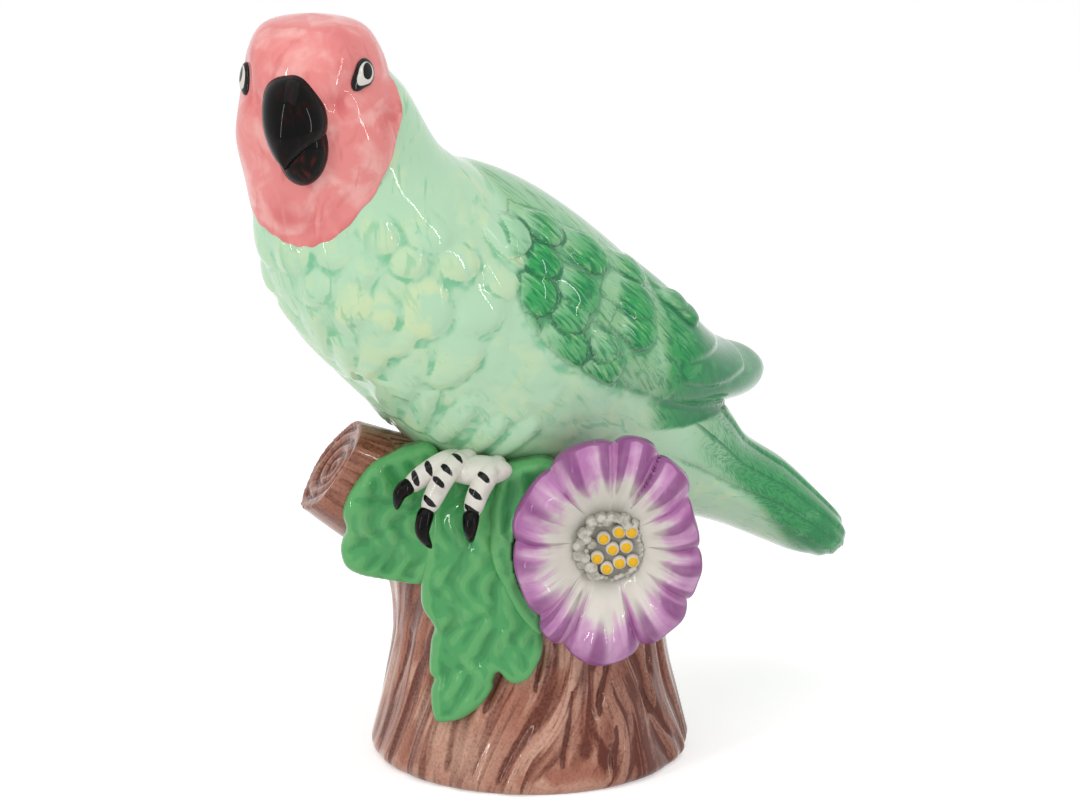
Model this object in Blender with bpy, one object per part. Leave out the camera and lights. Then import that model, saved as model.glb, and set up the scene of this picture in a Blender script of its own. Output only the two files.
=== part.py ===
"""Glazed ceramic parrot perched on a tree stump beside a large flower.

The whole figurine is one hollow slip casting, so it is one solid. Metres, +Z up. The origin is
the middle of the foot that it stands on, and the flower looks along -Y.
"""

import math

import bmesh
import bpy
import numpy as np
from mathutils import Matrix, Vector, geometry
from mathutils.bvhtree import BVHTree

# Casting
WALL = 0.0055
VENT_RADIUS = 0.005
VENT_SETBACK = 0.022
SKIN_VOXEL = 0.0016
CAVITY_VOXEL = 0.0035
SKIN_TRIANGLES = 9600
CAVITY_TRIANGLES = 900

# Stump
BASE_RADIUS = 0.0520
WAIST_RADIUS = 0.0435
WAIST_HEIGHT = 0.042
CROWN_RADIUS = 0.0475
STUMP_HEIGHT = 0.096
FOOT_ROUND = 0.005
BARK_DEPTH = 0.0024
BARK_GROOVES = 17
STUMP_OVERCUT = 0.010

# Sawn branch on the stump's left
STUB_TURN = math.radians(24)
STUB_RISE = math.radians(30)
STUB_DROP = 0.033
STUB_LENGTH = 0.080
STUB_RADIUS = 0.0165
STUB_ROOT_RADIUS = 0.0240
RING_PITCH = 0.0046
RING_DEPTH = 0.0011

# Parrot. It sits on the crown, and faces this far round from -X towards -Y.
BIRD_TURN = math.radians(37)
BODY_HALF_WIDTH = 0.0400
WING_HALF_WIDTH = 0.0440
HEAD_TURN = math.radians(15)
HEAD_FORWARD = 0.082
HEAD_ABOVE_CROWN = 0.128
BREAST_SCALE = 0.0150
BREAST_RELIEF = 0.0010
BREAST_START = 0.030
BREAST_END = 0.150
TAIL_START = 0.175
TAIL_FEATHER = 0.0075
TAIL_RELIEF = 0.0012
COVERT_RELIEF = 0.0024
LAYER_STEP = 0.0013
NECK_BLEND = 14

# Leaves and flower
LEFT_LEAF_LIFT = 0.0045
HANGING_LEAF_LIFT = 0.0050
INNER_LEAF_LIFT = 0.0085
LEAF_BACK = 0.0045
LEAF_FREE = 0.0095
LEAF_EDGE = 0.0030
LEAF_STEP = 0.0012
LEAF_DRAPE = 0.012
VEIN_DEPTH = 0.0009
VEIN_WIDTH = 0.0009
FLOWER_ACROSS = 0.0240
FLOWER_DROP = 0.015
FLOWER_STAND = 0.0130
FLOWER_CUP = 0.0085
FLOWER_ROLL = 0.0050
FLOWER_LIP = 0.0020
FLOWER_ROOT = 0.0170
PETAL_BULGE = 0.0026
CUP_SHARE = 0.24
CREST_SHARE = 0.78

# The parrot's side view, crown to tail tip. Each row is one section: its point on the back and its
# point on the breast, both as forward and up, then its half-width as a share of the widest.
BODY_SECTIONS = (
    (0.0590, 0.1270, 0.0900, 0.1340, 0.52),
    (0.0465, 0.1140, 0.0960, 0.1120, 0.64),
    (0.0285, 0.1030, 0.0975, 0.0920, 0.78),
    (0.006, 0.090, 0.0935, 0.072, 0.91),
    (-0.016, 0.074, 0.078, 0.0535, 0.99),
    (-0.036, 0.056, 0.057, 0.032, 1.00),
    (-0.052, 0.038, 0.040, 0.011, 0.94),
    (-0.064, 0.023, 0.014, -0.004, 0.82),
    (-0.074, 0.009, -0.020, -0.013, 0.70),
    (-0.084, -0.003, -0.050, -0.025, 0.55),
    (-0.100, -0.019, -0.076, -0.037, 0.46),
    (-0.116, -0.034, -0.099, -0.047, 0.40),
    (-0.131, -0.048, -0.121, -0.055, 0.32),
)
# The folded wings, in the same way: the line of the back, then the wings' lower edge.
WING_SECTIONS = (
    (0.044, 0.104, 0.068, 0.064, 0.66),
    (0.027, 0.103, 0.058, 0.047, 0.83),
    (0.006, 0.092, 0.038, 0.031, 0.96),
    (-0.018, 0.077, 0.014, 0.021, 1.00),
    (-0.039, 0.060, -0.012, 0.015, 0.94),
    (-0.058, 0.045, -0.037, 0.012, 0.80),
    (-0.073, 0.032, -0.060, 0.012, 0.60),
    (-0.085, 0.024, -0.078, 0.014, 0.38),
    (-0.093, 0.019, -0.090, 0.016, 0.18),
)
# Each covert in the side view: its middle as forward and up, its length and its width.
COVERTS = (
    (0.0355, 0.0855, 0.017, 0.0130),
    (0.0210, 0.0855, 0.015, 0.0115),
    (0.0260, 0.0770, 0.014, 0.0105),
    (0.0295, 0.0675, 0.015, 0.0120),
    (0.0345, 0.0580, 0.014, 0.0105),
    (0.0380, 0.0480, 0.015, 0.0115),
    (0.0365, 0.0375, 0.013, 0.0105),
    (0.0060, 0.0765, 0.018, 0.0130),
    (0.0140, 0.0660, 0.016, 0.0125),
    (0.0180, 0.0600, 0.014, 0.0110),
    (0.0190, 0.0490, 0.017, 0.0135),
    (0.0220, 0.0390, 0.013, 0.0110),
    (0.0195, 0.0290, 0.012, 0.0105),
    (-0.0135, 0.0675, 0.015, 0.0115),
    (-0.0100, 0.0595, 0.018, 0.0130),
    (-0.0095, 0.0510, 0.014, 0.0115),
    (0.0050, 0.0475, 0.011, 0.0085),
    (0.0040, 0.0405, 0.014, 0.0120),
    (0.0035, 0.0320, 0.015, 0.0130),
    (0.0015, 0.0235, 0.012, 0.0120),
    (-0.0315, 0.0535, 0.012, 0.0090),
    (-0.0350, 0.0490, 0.011, 0.0080),
    (0.0500, 0.0625, 0.023, 0.0210),
)
COVERT_SLANT = math.radians(40)
# The upper two layers of long feathers at the wing tip, in the side view
WING_LAYERS = (
    (
        (-0.0180, 0.0660), (-0.0190, 0.0380), (-0.0275, 0.0370), (-0.0415, 0.0360), (-0.0560, 0.0355),
        (-0.0630, 0.0400), (-0.0600, 0.0660),
    ),
    (
        (-0.0240, 0.0660), (-0.0300, 0.0300), (-0.0430, 0.0260), (-0.0540, 0.0255), (-0.0660, 0.0260),
        (-0.0735, 0.0300), (-0.0720, 0.0660),
    ),
)
# Leaves as they lie over the stump: outlines and veins, both as X and height above the crown.
LEFT_LEAF = (
    (-0.0300, 0.0145), (-0.0380, 0.0150), (-0.0440, 0.0130), (-0.0500, 0.0105), (-0.0545, 0.0055),
    (-0.0575, 0.0005), (-0.0590, -0.0050), (-0.0580, -0.0105), (-0.0595, -0.0150), (-0.0600, -0.0190),
    (-0.0575, -0.0225), (-0.0530, -0.0245), (-0.0475, -0.0265), (-0.0420, -0.0280), (-0.0340, -0.0290),
    (-0.0270, -0.0200), (-0.0250, -0.0035),
)
LEFT_VEINS = (
    ((-0.0290, 0.0040), (-0.0400, -0.0060), (-0.0580, -0.0185)),
    ((-0.0370, -0.0030), (-0.0470, 0.0000), (-0.0555, 0.0005)),
    ((-0.0400, -0.0060), (-0.0420, -0.0160), (-0.0460, -0.0245)),
)
HANGING_LEAF = (
    (-0.0335, -0.0185), (-0.0350, -0.0315), (-0.0345, -0.0380), (-0.0310, -0.0440), (-0.0320, -0.0495),
    (-0.0325, -0.0585), (-0.0310, -0.0610), (-0.0320, -0.0650), (-0.0315, -0.0715), (-0.0295, -0.0745),
    (-0.0225, -0.0730), (-0.0165, -0.0685), (-0.0125, -0.0625), (-0.0120, -0.0590), (-0.0105, -0.0565),
    (-0.0080, -0.0590), (-0.0050, -0.0600), (-0.0010, -0.0580), (0.0020, -0.0530), (0.0035, -0.0480),
    (0.0030, -0.0415), (0.0010, -0.0315), (-0.0025, -0.0185), (-0.0035, -0.0055), (-0.0050, 0.0035),
    (-0.0100, 0.0095), (-0.0190, 0.0115), (-0.0285, 0.0105),
)
HANGING_VEINS = (
    ((-0.0120, -0.0270), (-0.0125, -0.0430), (-0.0185, -0.0560), (-0.0260, -0.0710)),
    ((-0.0120, -0.0300), (-0.0060, -0.0440), (-0.0010, -0.0540)),
    ((-0.0130, -0.0360), (-0.0225, -0.0420), (-0.0305, -0.0460)),
    ((-0.0160, -0.0510), (-0.0240, -0.0560), (-0.0300, -0.0590)),
    ((-0.0170, 0.0000), (-0.0200, -0.0140), (-0.0290, -0.0310)),
)
INNER_LEAF = (
    (-0.0085, 0.0100), (-0.0035, 0.0115), (0.0040, 0.0120), (0.0085, 0.0080), (0.0060, -0.0050),
    (0.0035, -0.0180), (0.0040, -0.0310), (0.0030, -0.0430), (-0.0035, -0.0375), (-0.0090, -0.0275),
    (-0.0125, -0.0180), (-0.0130, -0.0050), (-0.0115, 0.0045),
)
INNER_VEINS = (
    ((-0.0065, 0.0050), (-0.0070, -0.0060), (-0.0045, -0.0180), (0.0010, -0.0360)),
    ((-0.0070, -0.0060), (-0.0110, -0.0110)),
    ((-0.0060, -0.0110), (-0.0105, -0.0170)),
)
# The flower's rim: the direction of each fold between two petals, then each petal's reach.
FOLDS = tuple(math.radians(a) for a in (1, 35, 63, 88, 125, 172, 224, 245, 287, 326))
REACHES = (0.0292, 0.0345, 0.0378, 0.0358, 0.0325, 0.0296, 0.0330, 0.0366, 0.0335, 0.0300)
ANTHERS = (
    (0.0031, 0.0051), (0.0070, 0.0051), (-0.0017, 0.0030), (0.0011, -0.0005), (0.0054, 0.0003),
    (-0.0037, -0.0034), (0.0033, -0.0049), (0.0075, -0.0044), (-0.0007, -0.0068),
)
ANTHER_RADIUS = 0.0020
# Near foot: toes, then claws, each as points down its middle: X, how far in front of the crown's
# rim, and height above the crown.
TOES = (
    (
        (-0.0230, -0.0070, 0.0120), (-0.0300, 0.0015, 0.0115), (-0.0345, 0.0040, 0.0080),
        (-0.0375, 0.0025, 0.0040),
    ),
    (
        (-0.0200, -0.0050, 0.0120), (-0.0250, 0.0055, 0.0115), (-0.0290, 0.0085, 0.0065),
        (-0.0320, 0.0070, -0.0010),
    ),
    (
        (-0.0150, -0.0050, 0.0120), (-0.0160, 0.0065, 0.0110), (-0.0165, 0.0090, 0.0060),
        (-0.0180, 0.0075, -0.0015),
    ),
)
CLAWS = (
    ((-0.0370, 0.0030, 0.0050), (-0.0410, 0.0050, 0.0040), (-0.0420, 0.0030, -0.0010)),
    ((-0.0320, 0.0070, 0.0000), (-0.0335, 0.0095, -0.0045), (-0.0310, 0.0070, -0.0120)),
    ((-0.0180, 0.0075, -0.0005), (-0.0190, 0.0100, -0.0050), (-0.0190, 0.0075, -0.0110)),
)
# The other foot: its toes reach over the back of the crown in these directions. Each point is its
# distance from the crown's rim and its height above the crown.
FAR_TOE_TURNS = tuple(math.radians(a) for a in (172, 151, 130))
FAR_TOE = ((-0.0350, 0.0010), (-0.0095, 0.0040), (0.0010, 0.0000), (0.0030, -0.0070))
FAR_CLAW = ((0.0030, -0.0055), (0.0040, -0.0110), (0.0015, -0.0170))
TOE_RADIUS = 0.0034
CLAW_RADIUS = 0.0028
TOE_TAPER = 0.85
CLAW_TAPER = 0.15

# The head, crown to throat, in its own frame: height, face, nape and half-width.
HEAD_SECTIONS = (
    (0.0262, 0.0000, 0.0010, 0.0005),
    (0.0235, -0.0125, 0.0120, 0.0120),
    (0.0160, -0.0205, 0.0200, 0.0180),
    (0.0060, -0.0243, 0.0240, 0.0214),
    (-0.0050, -0.0240, 0.0245, 0.0237),
    (-0.0150, -0.0226, 0.0240, 0.0251),
    (-0.0270, -0.0205, 0.0225, 0.0240),
    (-0.0380, -0.0182, 0.0200, 0.0214),
    (-0.0470, -0.0140, 0.0170, 0.0170),
    (-0.0530, -0.0020, 0.0100, 0.0020),
)
HEAD_HALF_HEIGHT = 0.040
# The upper beak, root to hook, in the head's frame: its ridge's depth, its height and half-width.
BEAK_SECTIONS = (
    (-0.0180, 0.0115, 0.0020),
    (-0.0255, 0.0090, 0.0070),
    (-0.0300, 0.0010, 0.0106),
    (-0.0310, -0.0080, 0.0100),
    (-0.0305, -0.0150, 0.0062),
    (-0.0290, -0.0195, 0.0014),
)
BEAK_ASIDE = 0.0006
BEAK_BACK = 0.0040
BEAK_HALF_DEPTH = 0.0075
LOWER_BEAK = ((0.0014, -0.0235, -0.0160), (0.0090, 0.0070, 0.0088))
# Each eye: its middle in the head's frame and how far it is turned from straight ahead, in degrees.
EYES = (((0.0172, -0.0128, 0.0094), 42), ((-0.0180, -0.0128, 0.0086), -48))
EYE_RADII = (0.0042, 0.0013, 0.0047)
# The passage from the stump's hollow up into the parrot's: its middle and radii.
PASSAGE = ((-0.008, 0.0, 0.002), (0.020, 0.018, 0.020))


def catmull(points, t):
    """The smooth curve through rows of points, read at t from 0 to 1."""
    rows = np.asarray(points, float)
    x = np.clip(t, 0, 1) * (len(rows) - 1)
    i = np.minimum(x.astype(int), len(rows) - 2)
    f = (x - i)[:, None]
    p0 = rows[np.maximum(i - 1, 0)]
    p1, p2 = rows[i], rows[i + 1]
    p3 = rows[np.minimum(i + 2, len(rows) - 1)]
    bend = 2 * p0 - 5 * p1 + 4 * p2 - p3
    return 0.5 * (2 * p1 + (p2 - p0) * f + bend * f**2 + (3 * p1 - p0 - 3 * p2 + p3) * f**3)


def smoothstep(x):
    x = np.clip(x, 0, 1)
    return x * x * (3 - 2 * x)


def to_curve(points, curve):
    """How far each 2-D point is from a line through some others."""
    nearest = np.full(len(points), np.inf)
    for a, b in zip(curve[:-1], curve[1:]):
        a, b = np.array(a), np.array(b)
        share = np.clip((points - a) @ (b - a) / ((b - a) @ (b - a)), 0, 1)
        nearest = np.minimum(nearest, np.linalg.norm(points - a - share[:, None] * (b - a), axis=1))
    return nearest


def within(points, outline):
    """Which 2-D points are inside a closed outline."""
    inside = np.zeros(len(points), bool)
    x, y = points[:, 0], points[:, 1]
    for (ax, ay), (bx, by) in zip(outline, (*outline[1:], outline[0])):
        crosses = (ay > y) != (by > y)
        at = ax + (y - ay) * (bx - ax) / (by - ay if by != ay else 1)
        inside ^= crosses & (x < at)
    return inside


def inside_by(points, outline):
    """How far inside a closed outline each 2-D point is, negative outside it."""
    reach = to_curve(points, (*outline, outline[0]))
    return np.where(within(points, outline), reach, -reach)


def positions(bm):
    return np.array([v.co for v in bm.verts], float)


def normals(bm):
    bm.normal_update()
    return np.array([v.normal for v in bm.verts], float)


def set_positions(bm, points):
    for vert, point in zip(bm.verts, points):
        vert.co = point


def raise_skin(bm, height):
    """Moves every point of a skin out along its normal by height."""
    set_positions(bm, positions(bm) + normals(bm) * height[:, None])


def skin(around, along, place):
    """A closed skin made from a ball: place(t, angle) moves each of its points to the form."""
    bm = bmesh.new()
    bmesh.ops.create_uvsphere(bm, u_segments=around, v_segments=along, radius=1)
    unit = positions(bm)
    t = np.arccos(np.clip(unit[:, 2], -1, 1)) / math.pi
    set_positions(bm, place(t, np.arctan2(unit[:, 1], unit[:, 0])))
    bmesh.ops.recalc_face_normals(bm, faces=bm.faces)
    return bm


def ball(centre, radii, segments=32):
    bm = bmesh.new()
    bmesh.ops.create_uvsphere(bm, u_segments=segments, v_segments=segments // 2, radius=1)
    size = Matrix.Diagonal([*radii, 1])
    bm.transform(Matrix.Translation(centre) @ size)
    return bm


def limb(points, radius, tip):
    """A round bar along a curve, which narrows to tip as a share of its radius."""
    path = np.array(points)

    def place(t, angle):
        middle = catmull(path, t)
        ahead = catmull(path, np.minimum(t + 0.02, 1)) - catmull(path, np.maximum(t - 0.02, 0))
        ahead /= np.linalg.norm(ahead, axis=1)[:, None]
        across = np.cross(ahead, (0.0, 1.0, 0.0))
        across /= np.linalg.norm(across, axis=1)[:, None]
        up = np.cross(ahead, across)
        ends = np.sqrt(np.clip(1 - (2 * t - 1) ** 6, 0, 1))
        width = (radius * (1 + (tip - 1) * t**2) * ends)[:, None]
        return middle + width * (across * np.cos(angle)[:, None] + up * np.sin(angle)[:, None])

    return skin(16, 20, place)


def bird_matrix():
    """From the parrot's frame, x forward, y to its left and z above the crown, to the world."""
    return Matrix.Translation((0, 0, STUMP_HEIGHT)) @ Matrix.Rotation(math.pi + BIRD_TURN, 4, "Z")


def head_matrix():
    """From the head's frame, x to its left, -y forward and z up, to the world."""
    middle = bird_matrix() @ Vector((HEAD_FORWARD, 0.002, HEAD_ABOVE_CROWN))
    return Matrix.Translation(middle) @ Matrix.Rotation(-HEAD_TURN, 4, "Z")


def saddle(sections, half_width, inset, around, along, ends):
    """A form through side-view sections, drawn in by inset, in the parrot's frame."""
    rows = np.array(sections)

    def place(t, angle):
        share = 0.5 - 0.5 * np.cos(math.pi * t)
        row = catmull(rows, share)
        middle = (row[:, 0:2] + row[:, 2:4]) / 2
        reach = (row[:, 2:4] - row[:, 0:2]) / 2
        height = np.maximum(np.linalg.norm(reach, axis=1), 1e-6)
        near_end = np.clip(np.minimum(share, 1 - share) / ends, 0, 1)
        open_to = np.sqrt(1 - (1 - near_end) ** 2)
        tall = np.maximum(height - inset, 0) / height * open_to * np.cos(angle)
        wide = np.maximum(row[:, 4] * half_width - inset, 0) * open_to
        side = middle + reach * tall[:, None]
        return np.column_stack((side[:, 0], wide * np.sin(angle), side[:, 1]))

    return skin(around, along, place)


def along_body(points):
    """How far down the body each point is, and how far round it from the keel."""
    rows = np.array(BODY_SECTIONS)
    line = (rows[:, 0:2] + rows[:, 2:4]) / 2
    side = points[:, [0, 2]]
    best = np.full(len(points), np.inf)
    down, out = np.zeros(len(points)), np.zeros(len(points))
    start = 0.0
    for a, b in zip(line[:-1], line[1:]):
        step = b - a
        length = np.linalg.norm(step)
        share = np.clip((side - a) @ step / length**2, 0, 1)
        away = side - a - share[:, None] * step
        distance = np.linalg.norm(away, axis=1)
        nearer = distance < best
        best = np.where(nearer, distance, best)
        down = np.where(nearer, start + share * length, down)
        to_keel = (away[:, 0] * -step[1] + away[:, 1] * step[0]) / length
        out = np.where(nearer, to_keel, out)
        start += length
    radius = np.hypot(out, points[:, 1])
    return down, np.arctan2(np.abs(points[:, 1]), out) * np.maximum(radius, 0.02)


def made_up(row, column):
    """A fixed but uneven number from 0 to 1 for each place in a pattern."""
    return np.abs(np.sin(row * 12.9898 + column * 78.233 + 1.7) * 43758.5453) % 1


def scales(down, around, length, width):
    """Overlapping rounded feathers, as a height from 0 to 1."""
    height = np.zeros(len(down))
    first = np.floor(down / length)
    for back in (0, 1):
        row = first - back
        place = around / width + 0.5 * (row % 2)
        column = np.round(place)
        across = 2 * (place - column)
        reach = (down - row * length) / (length * 1.75)
        tip = 1 - 0.42 * across**2 - 0.22 * made_up(row, column)
        covered = smoothstep((tip - reach) / 0.08) * (1 - 0.35 * across**2)
        height = np.maximum(height, covered * (0.10 + 0.90 * np.clip(reach, 0, 1)))
    return height


def body_relief(points):
    """Breast feathers that fade towards the wings and the tail."""
    down, around = along_body(points)
    fade = smoothstep((down - BREAST_START) / 0.02) * smoothstep((BREAST_END - down) / 0.03)
    return BREAST_RELIEF * fade * scales(down, around, BREAST_SCALE * 0.85, BREAST_SCALE)


def tail_relief(points):
    """Long feathers down the tail."""
    down, around = along_body(points)
    fade = smoothstep((down - TAIL_START) / 0.02)
    lines = np.abs(np.sin(around / TAIL_FEATHER * math.pi))
    return fade * TAIL_RELIEF * np.sqrt(lines)


def body_form():
    bm = saddle(BODY_SECTIONS, BODY_HALF_WIDTH, 0.0, 120, 160, 0.06)
    points = positions(bm)
    raise_skin(bm, body_relief(points) + tail_relief(points))
    return bm


def covert_relief(points, on_skin, normal, length, width):
    """One rounded covert: it rises towards its free end and stops at an edge."""
    lie = Vector((-math.cos(COVERT_SLANT), 0, -math.sin(COVERT_SLANT)))
    lie = np.array((lie - lie.dot(normal) * normal).normalized())
    normal = np.array(normal)
    away = points - np.array(on_skin)
    ahead = away @ lie / (length / 2)
    side = away @ np.cross(normal, lie) / (width / 2)
    shape = np.hypot(np.maximum(ahead, 0), side)
    covered = smoothstep((1 - shape) / 0.22) * (1 - 0.30 * np.clip(shape, 0, 1) ** 2)
    rise = smoothstep((ahead + 1.15) / 1.5)
    return np.where(np.abs(away @ normal) < 0.012, covered * rise, 0)


def wing_relief(bm):
    points = positions(bm)
    tree = BVHTree.FromBMesh(bm)
    height = np.zeros(len(points))
    mirrored = points * (1, -1, 1)
    for forward, up, length, width in COVERTS:
        on_skin, normal, _, _ = tree.ray_cast(Vector((forward, 0.1, up)), Vector((0, -1, 0)))
        for here in (points, mirrored):
            one = covert_relief(here, on_skin, normal, length, width)
            height = np.maximum(height, COVERT_RELIEF * one)
    side = points[:, [0, 2]]
    for layer in WING_LAYERS:
        height += LAYER_STEP * smoothstep(inside_by(side, layer) / 0.0012 + 0.5)
    return height


def wing_form():
    bm = saddle(WING_SECTIONS, WING_HALF_WIDTH, 0.0, 160, 160, 0.05)
    raise_skin(bm, wing_relief(bm))
    return bm


def beak_forms():
    """Upper beak with its hooked end over the shorter lower one, in the head's frame."""

    def place(t, angle):
        ridge, height, wide = catmull(BEAK_SECTIONS, t).T
        wide = wide * np.sqrt(np.clip(1 - (2 * t - 1) ** 8, 0, 1))
        depth = ridge + BEAK_BACK - BEAK_HALF_DEPTH * np.cos(angle)
        return np.column_stack((BEAK_ASIDE + wide * np.sin(angle), depth, height))

    return [skin(24, 24, place), ball(*LOWER_BEAK, segments=24)]


def head_form(inset=0.0):
    def place(t, angle):
        height, face, nape, wide = catmull(HEAD_SECTIONS, t).T
        middle, deep = (face + nape) / 2, (nape - face) / 2
        y = middle - np.maximum(deep - inset, 0) * np.cos(angle)
        x = np.maximum(wide - inset, 0) * np.sin(angle)
        return np.column_stack((x, y, height * (1 - inset / HEAD_HALF_HEIGHT)))

    return skin(64, 64, place)


def eye_forms():
    found = []
    for (x, y, z), turn in EYES:
        bm = ball((0, 0, 0), EYE_RADII, segments=16)
        bm.transform(Matrix.Translation((x, y, z)) @ Matrix.Rotation(math.radians(turn), 4, "Z"))
        found.append(bm)
    return found


def stump_radius(z):
    low = np.clip(1 - z / WAIST_HEIGHT, 0, 1) ** 1.25
    high = np.clip((z - WAIST_HEIGHT) / (STUMP_HEIGHT - WAIST_HEIGHT), 0, 1) ** 1.6
    radius = WAIST_RADIUS + (BASE_RADIUS - WAIST_RADIUS) * low
    radius = radius + (CROWN_RADIUS - WAIST_RADIUS) * high
    into_foot = np.clip(1 - z / FOOT_ROUND, 0, 1)
    return radius - FOOT_ROUND * (1 - np.sqrt(1 - into_foot**2))


def bark(angle, z):
    """How deep the bark's grooves are, from 0 on a ridge to 1."""
    wander = 0.30 * np.sin(3 * angle + z * 38) + 0.22 * np.sin(5 * angle - z * 61 + 1.3)
    wander = wander + 0.10 * np.sin(11 * angle + z * 140)
    wave = np.abs(np.sin(angle * BARK_GROOVES / 2 + wander * 2.2))
    return (1 - wave**0.55) * (0.55 + 0.45 * np.sin(4 * angle + z * 55) ** 2)


def stump_form(inset=0.0):
    """The stump, from below the floor, or its hollow, drawn in by inset at the foot and crown too."""
    bottom = inset or -STUMP_OVERCUT
    top = STUMP_HEIGHT - inset

    def place(t, angle):
        z = top - (top - bottom) * (0.5 - 0.5 * np.cos(math.pi * t))
        radius = stump_radius(z) - inset
        if not inset:
            radius = radius - BARK_DEPTH * bark(angle, z) * smoothstep(z / 0.006 + 0.3)
        radius = radius * np.clip(np.sin(math.pi * t) * 4.5, 0, 1) ** 0.6
        return np.column_stack((radius * np.cos(angle), radius * np.sin(angle), z))

    return skin(180, 90, place)


def stub_form():
    def place(t, angle):
        along = 1 - t
        reach = STUB_LENGTH * np.clip(along / 0.75, 0, 1)
        thin = np.clip(along / 0.75, 0, 1) ** 0.7
        width = STUB_ROOT_RADIUS + (STUB_RADIUS - STUB_ROOT_RADIUS) * thin
        width = width - 0.4 * BARK_DEPTH * np.abs(np.sin(4.5 * angle + 30 * reach)) ** 3
        over_end = np.clip((1 - along) / 0.25, 0, 1)
        width = width * over_end**0.8
        rings = RING_DEPTH * (0.5 + 0.5 * np.cos(2 * math.pi * width / RING_PITCH))
        reach = reach - rings * (over_end < 0.9) - 0.0015 * (1 - over_end)
        return np.column_stack((width * np.cos(angle), width * np.sin(angle), reach))

    bm = skin(60, 80, place)
    lie = Matrix.Rotation(STUB_TURN, 4, "Z") @ Matrix.Rotation(STUB_RISE - math.pi / 2, 4, "Y")
    bm.transform(Matrix.Translation((0, 0, STUMP_HEIGHT - STUB_DROP)) @ lie)
    bmesh.ops.recalc_face_normals(bm, faces=bm.faces)
    return bm


def closed_curve(points, step):
    """A smooth closed line through some points, in steps of about one length."""
    ring = np.array((points[-1], *points, points[0], points[1]))
    lengths = np.linalg.norm(np.diff(ring, axis=0), axis=1)
    t = []
    for i in range(1, len(points) + 1):
        count = max(2, round(lengths[i] / step))
        t += [(i + k / count) / (len(ring) - 1) for k in range(count)]
    return catmull(ring, np.array(t))


def leaf_form(outline, veins, lift, support, step):
    """A thick leaf that lies over the stump and the branch."""
    edge = closed_curve(outline, step) + (0, STUMP_HEIGHT)
    low, high = edge.min(axis=0), edge.max(axis=0)
    grid = np.array(
        [(x, z) for x in np.arange(low[0], high[0], step) for z in np.arange(low[1], high[1], step)]
    )
    grid = grid[inside_by(grid, [tuple(p) for p in edge]) > step * 0.6]
    flat = [Vector(p) for p in (*edge, *grid)]
    loop = [(i, (i + 1) % len(edge)) for i in range(len(edge))]
    made = geometry.delaunay_2d_cdt(flat, loop, [], 1, 1e-7)
    points = np.array([tuple(p) for p in made[0]])
    faces = [tuple(f) for f in made[2]]
    depth = np.array([support_at(support, x, z) for x, z in points])
    pairs = np.array([tuple(e) for e in made[1]])
    for _ in range(int(LEAF_DRAPE / step) ** 2 // 2):
        total, count = np.zeros(len(points)), np.zeros(len(points))
        for a, b in ((0, 1), (1, 0)):
            np.add.at(total, pairs[:, a], depth[pairs[:, b]])
            np.add.at(count, pairs[:, a], 1)
        depth = total / np.maximum(count, 1)
    inward = to_curve(points, [tuple(p) for p in (*edge, edge[0])])
    round_edge = np.clip(inward / LEAF_EDGE, 0, 1)
    thick = lift * (0.35 + 0.65 * np.sqrt(1 - (1 - round_edge) ** 2))
    for vein in veins:
        line = [tuple(p) for p in catmull(vein, np.linspace(0, 1, 12)) + (0, STUMP_HEIGHT)]
        distance = to_curve(points, line)
        thick = thick - VEIN_DEPTH * np.exp(-((distance / VEIN_WIDTH) ** 2))
        beside = (distance - 4 * VEIN_WIDTH) / (2.5 * VEIN_WIDTH)
        thick = thick + 0.8 * VEIN_DEPTH * np.exp(-(beside**2))
    bm = bmesh.new()
    front = [bm.verts.new((x, d - h, z)) for (x, z), d, h in zip(points, depth, thick)]
    back = [bm.verts.new((x, d + LEAF_BACK, z)) for (x, z), d in zip(points, depth)]
    for face in faces:
        bm.faces.new([front[i] for i in face])
        bm.faces.new([back[i] for i in reversed(face)])
    rims = [e for e in bm.edges if e.is_boundary]
    bmesh.ops.bridge_loops(bm, edges=rims)
    bmesh.ops.recalc_face_normals(bm, faces=bm.faces)
    return bm


def support_at(support, x, z):
    """The stump's front at one X and Z, or a little behind the crown's rim where it has none."""
    there, _, _, _ = support.ray_cast(Vector((x, -1, z)), Vector((0, 1, 0)))
    free = -CROWN_RADIUS + LEAF_FREE
    return min(there.y, free + 0.008) if there else free


def leaf_forms(support, step):
    leaves = (
        (LEFT_LEAF, LEFT_VEINS, LEFT_LEAF_LIFT),
        (HANGING_LEAF, HANGING_VEINS, HANGING_LEAF_LIFT),
        (INNER_LEAF, INNER_VEINS, INNER_LEAF_LIFT),
    )
    return [leaf_form(outline, veins, lift, support, step) for outline, veins, lift in leaves]


def petal_place(angle):
    """Each direction's petal reach, and how far across its petal it is from -1 to 1."""
    folds = np.array((*FOLDS, FOLDS[0] + 2 * math.pi))
    turned = (angle - folds[0]) % (2 * math.pi) + folds[0]
    petal = np.clip(np.searchsorted(folds, turned, side="right") - 1, 0, len(FOLDS) - 1)
    across = 2 * (turned - folds[petal]) / (folds[petal + 1] - folds[petal]) - 1
    reaches = np.array(REACHES)
    other = (petal + np.where(across > 0, 1, -1)) % len(FOLDS)
    blend = 0.5 * np.abs(across) ** 2
    reach = reaches[petal] * (1 - blend) + reaches[other] * blend
    return reach * (1 - 0.055 * np.abs(across) ** 4), across, petal


def flower_centre():
    """The middle of the flower's rim, in front of the stump."""
    z = STUMP_HEIGHT - FLOWER_DROP
    surface = math.sqrt(float(stump_radius(z)) ** 2 - FLOWER_ACROSS**2)
    return FLOWER_ACROSS, -surface - FLOWER_STAND, z


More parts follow.
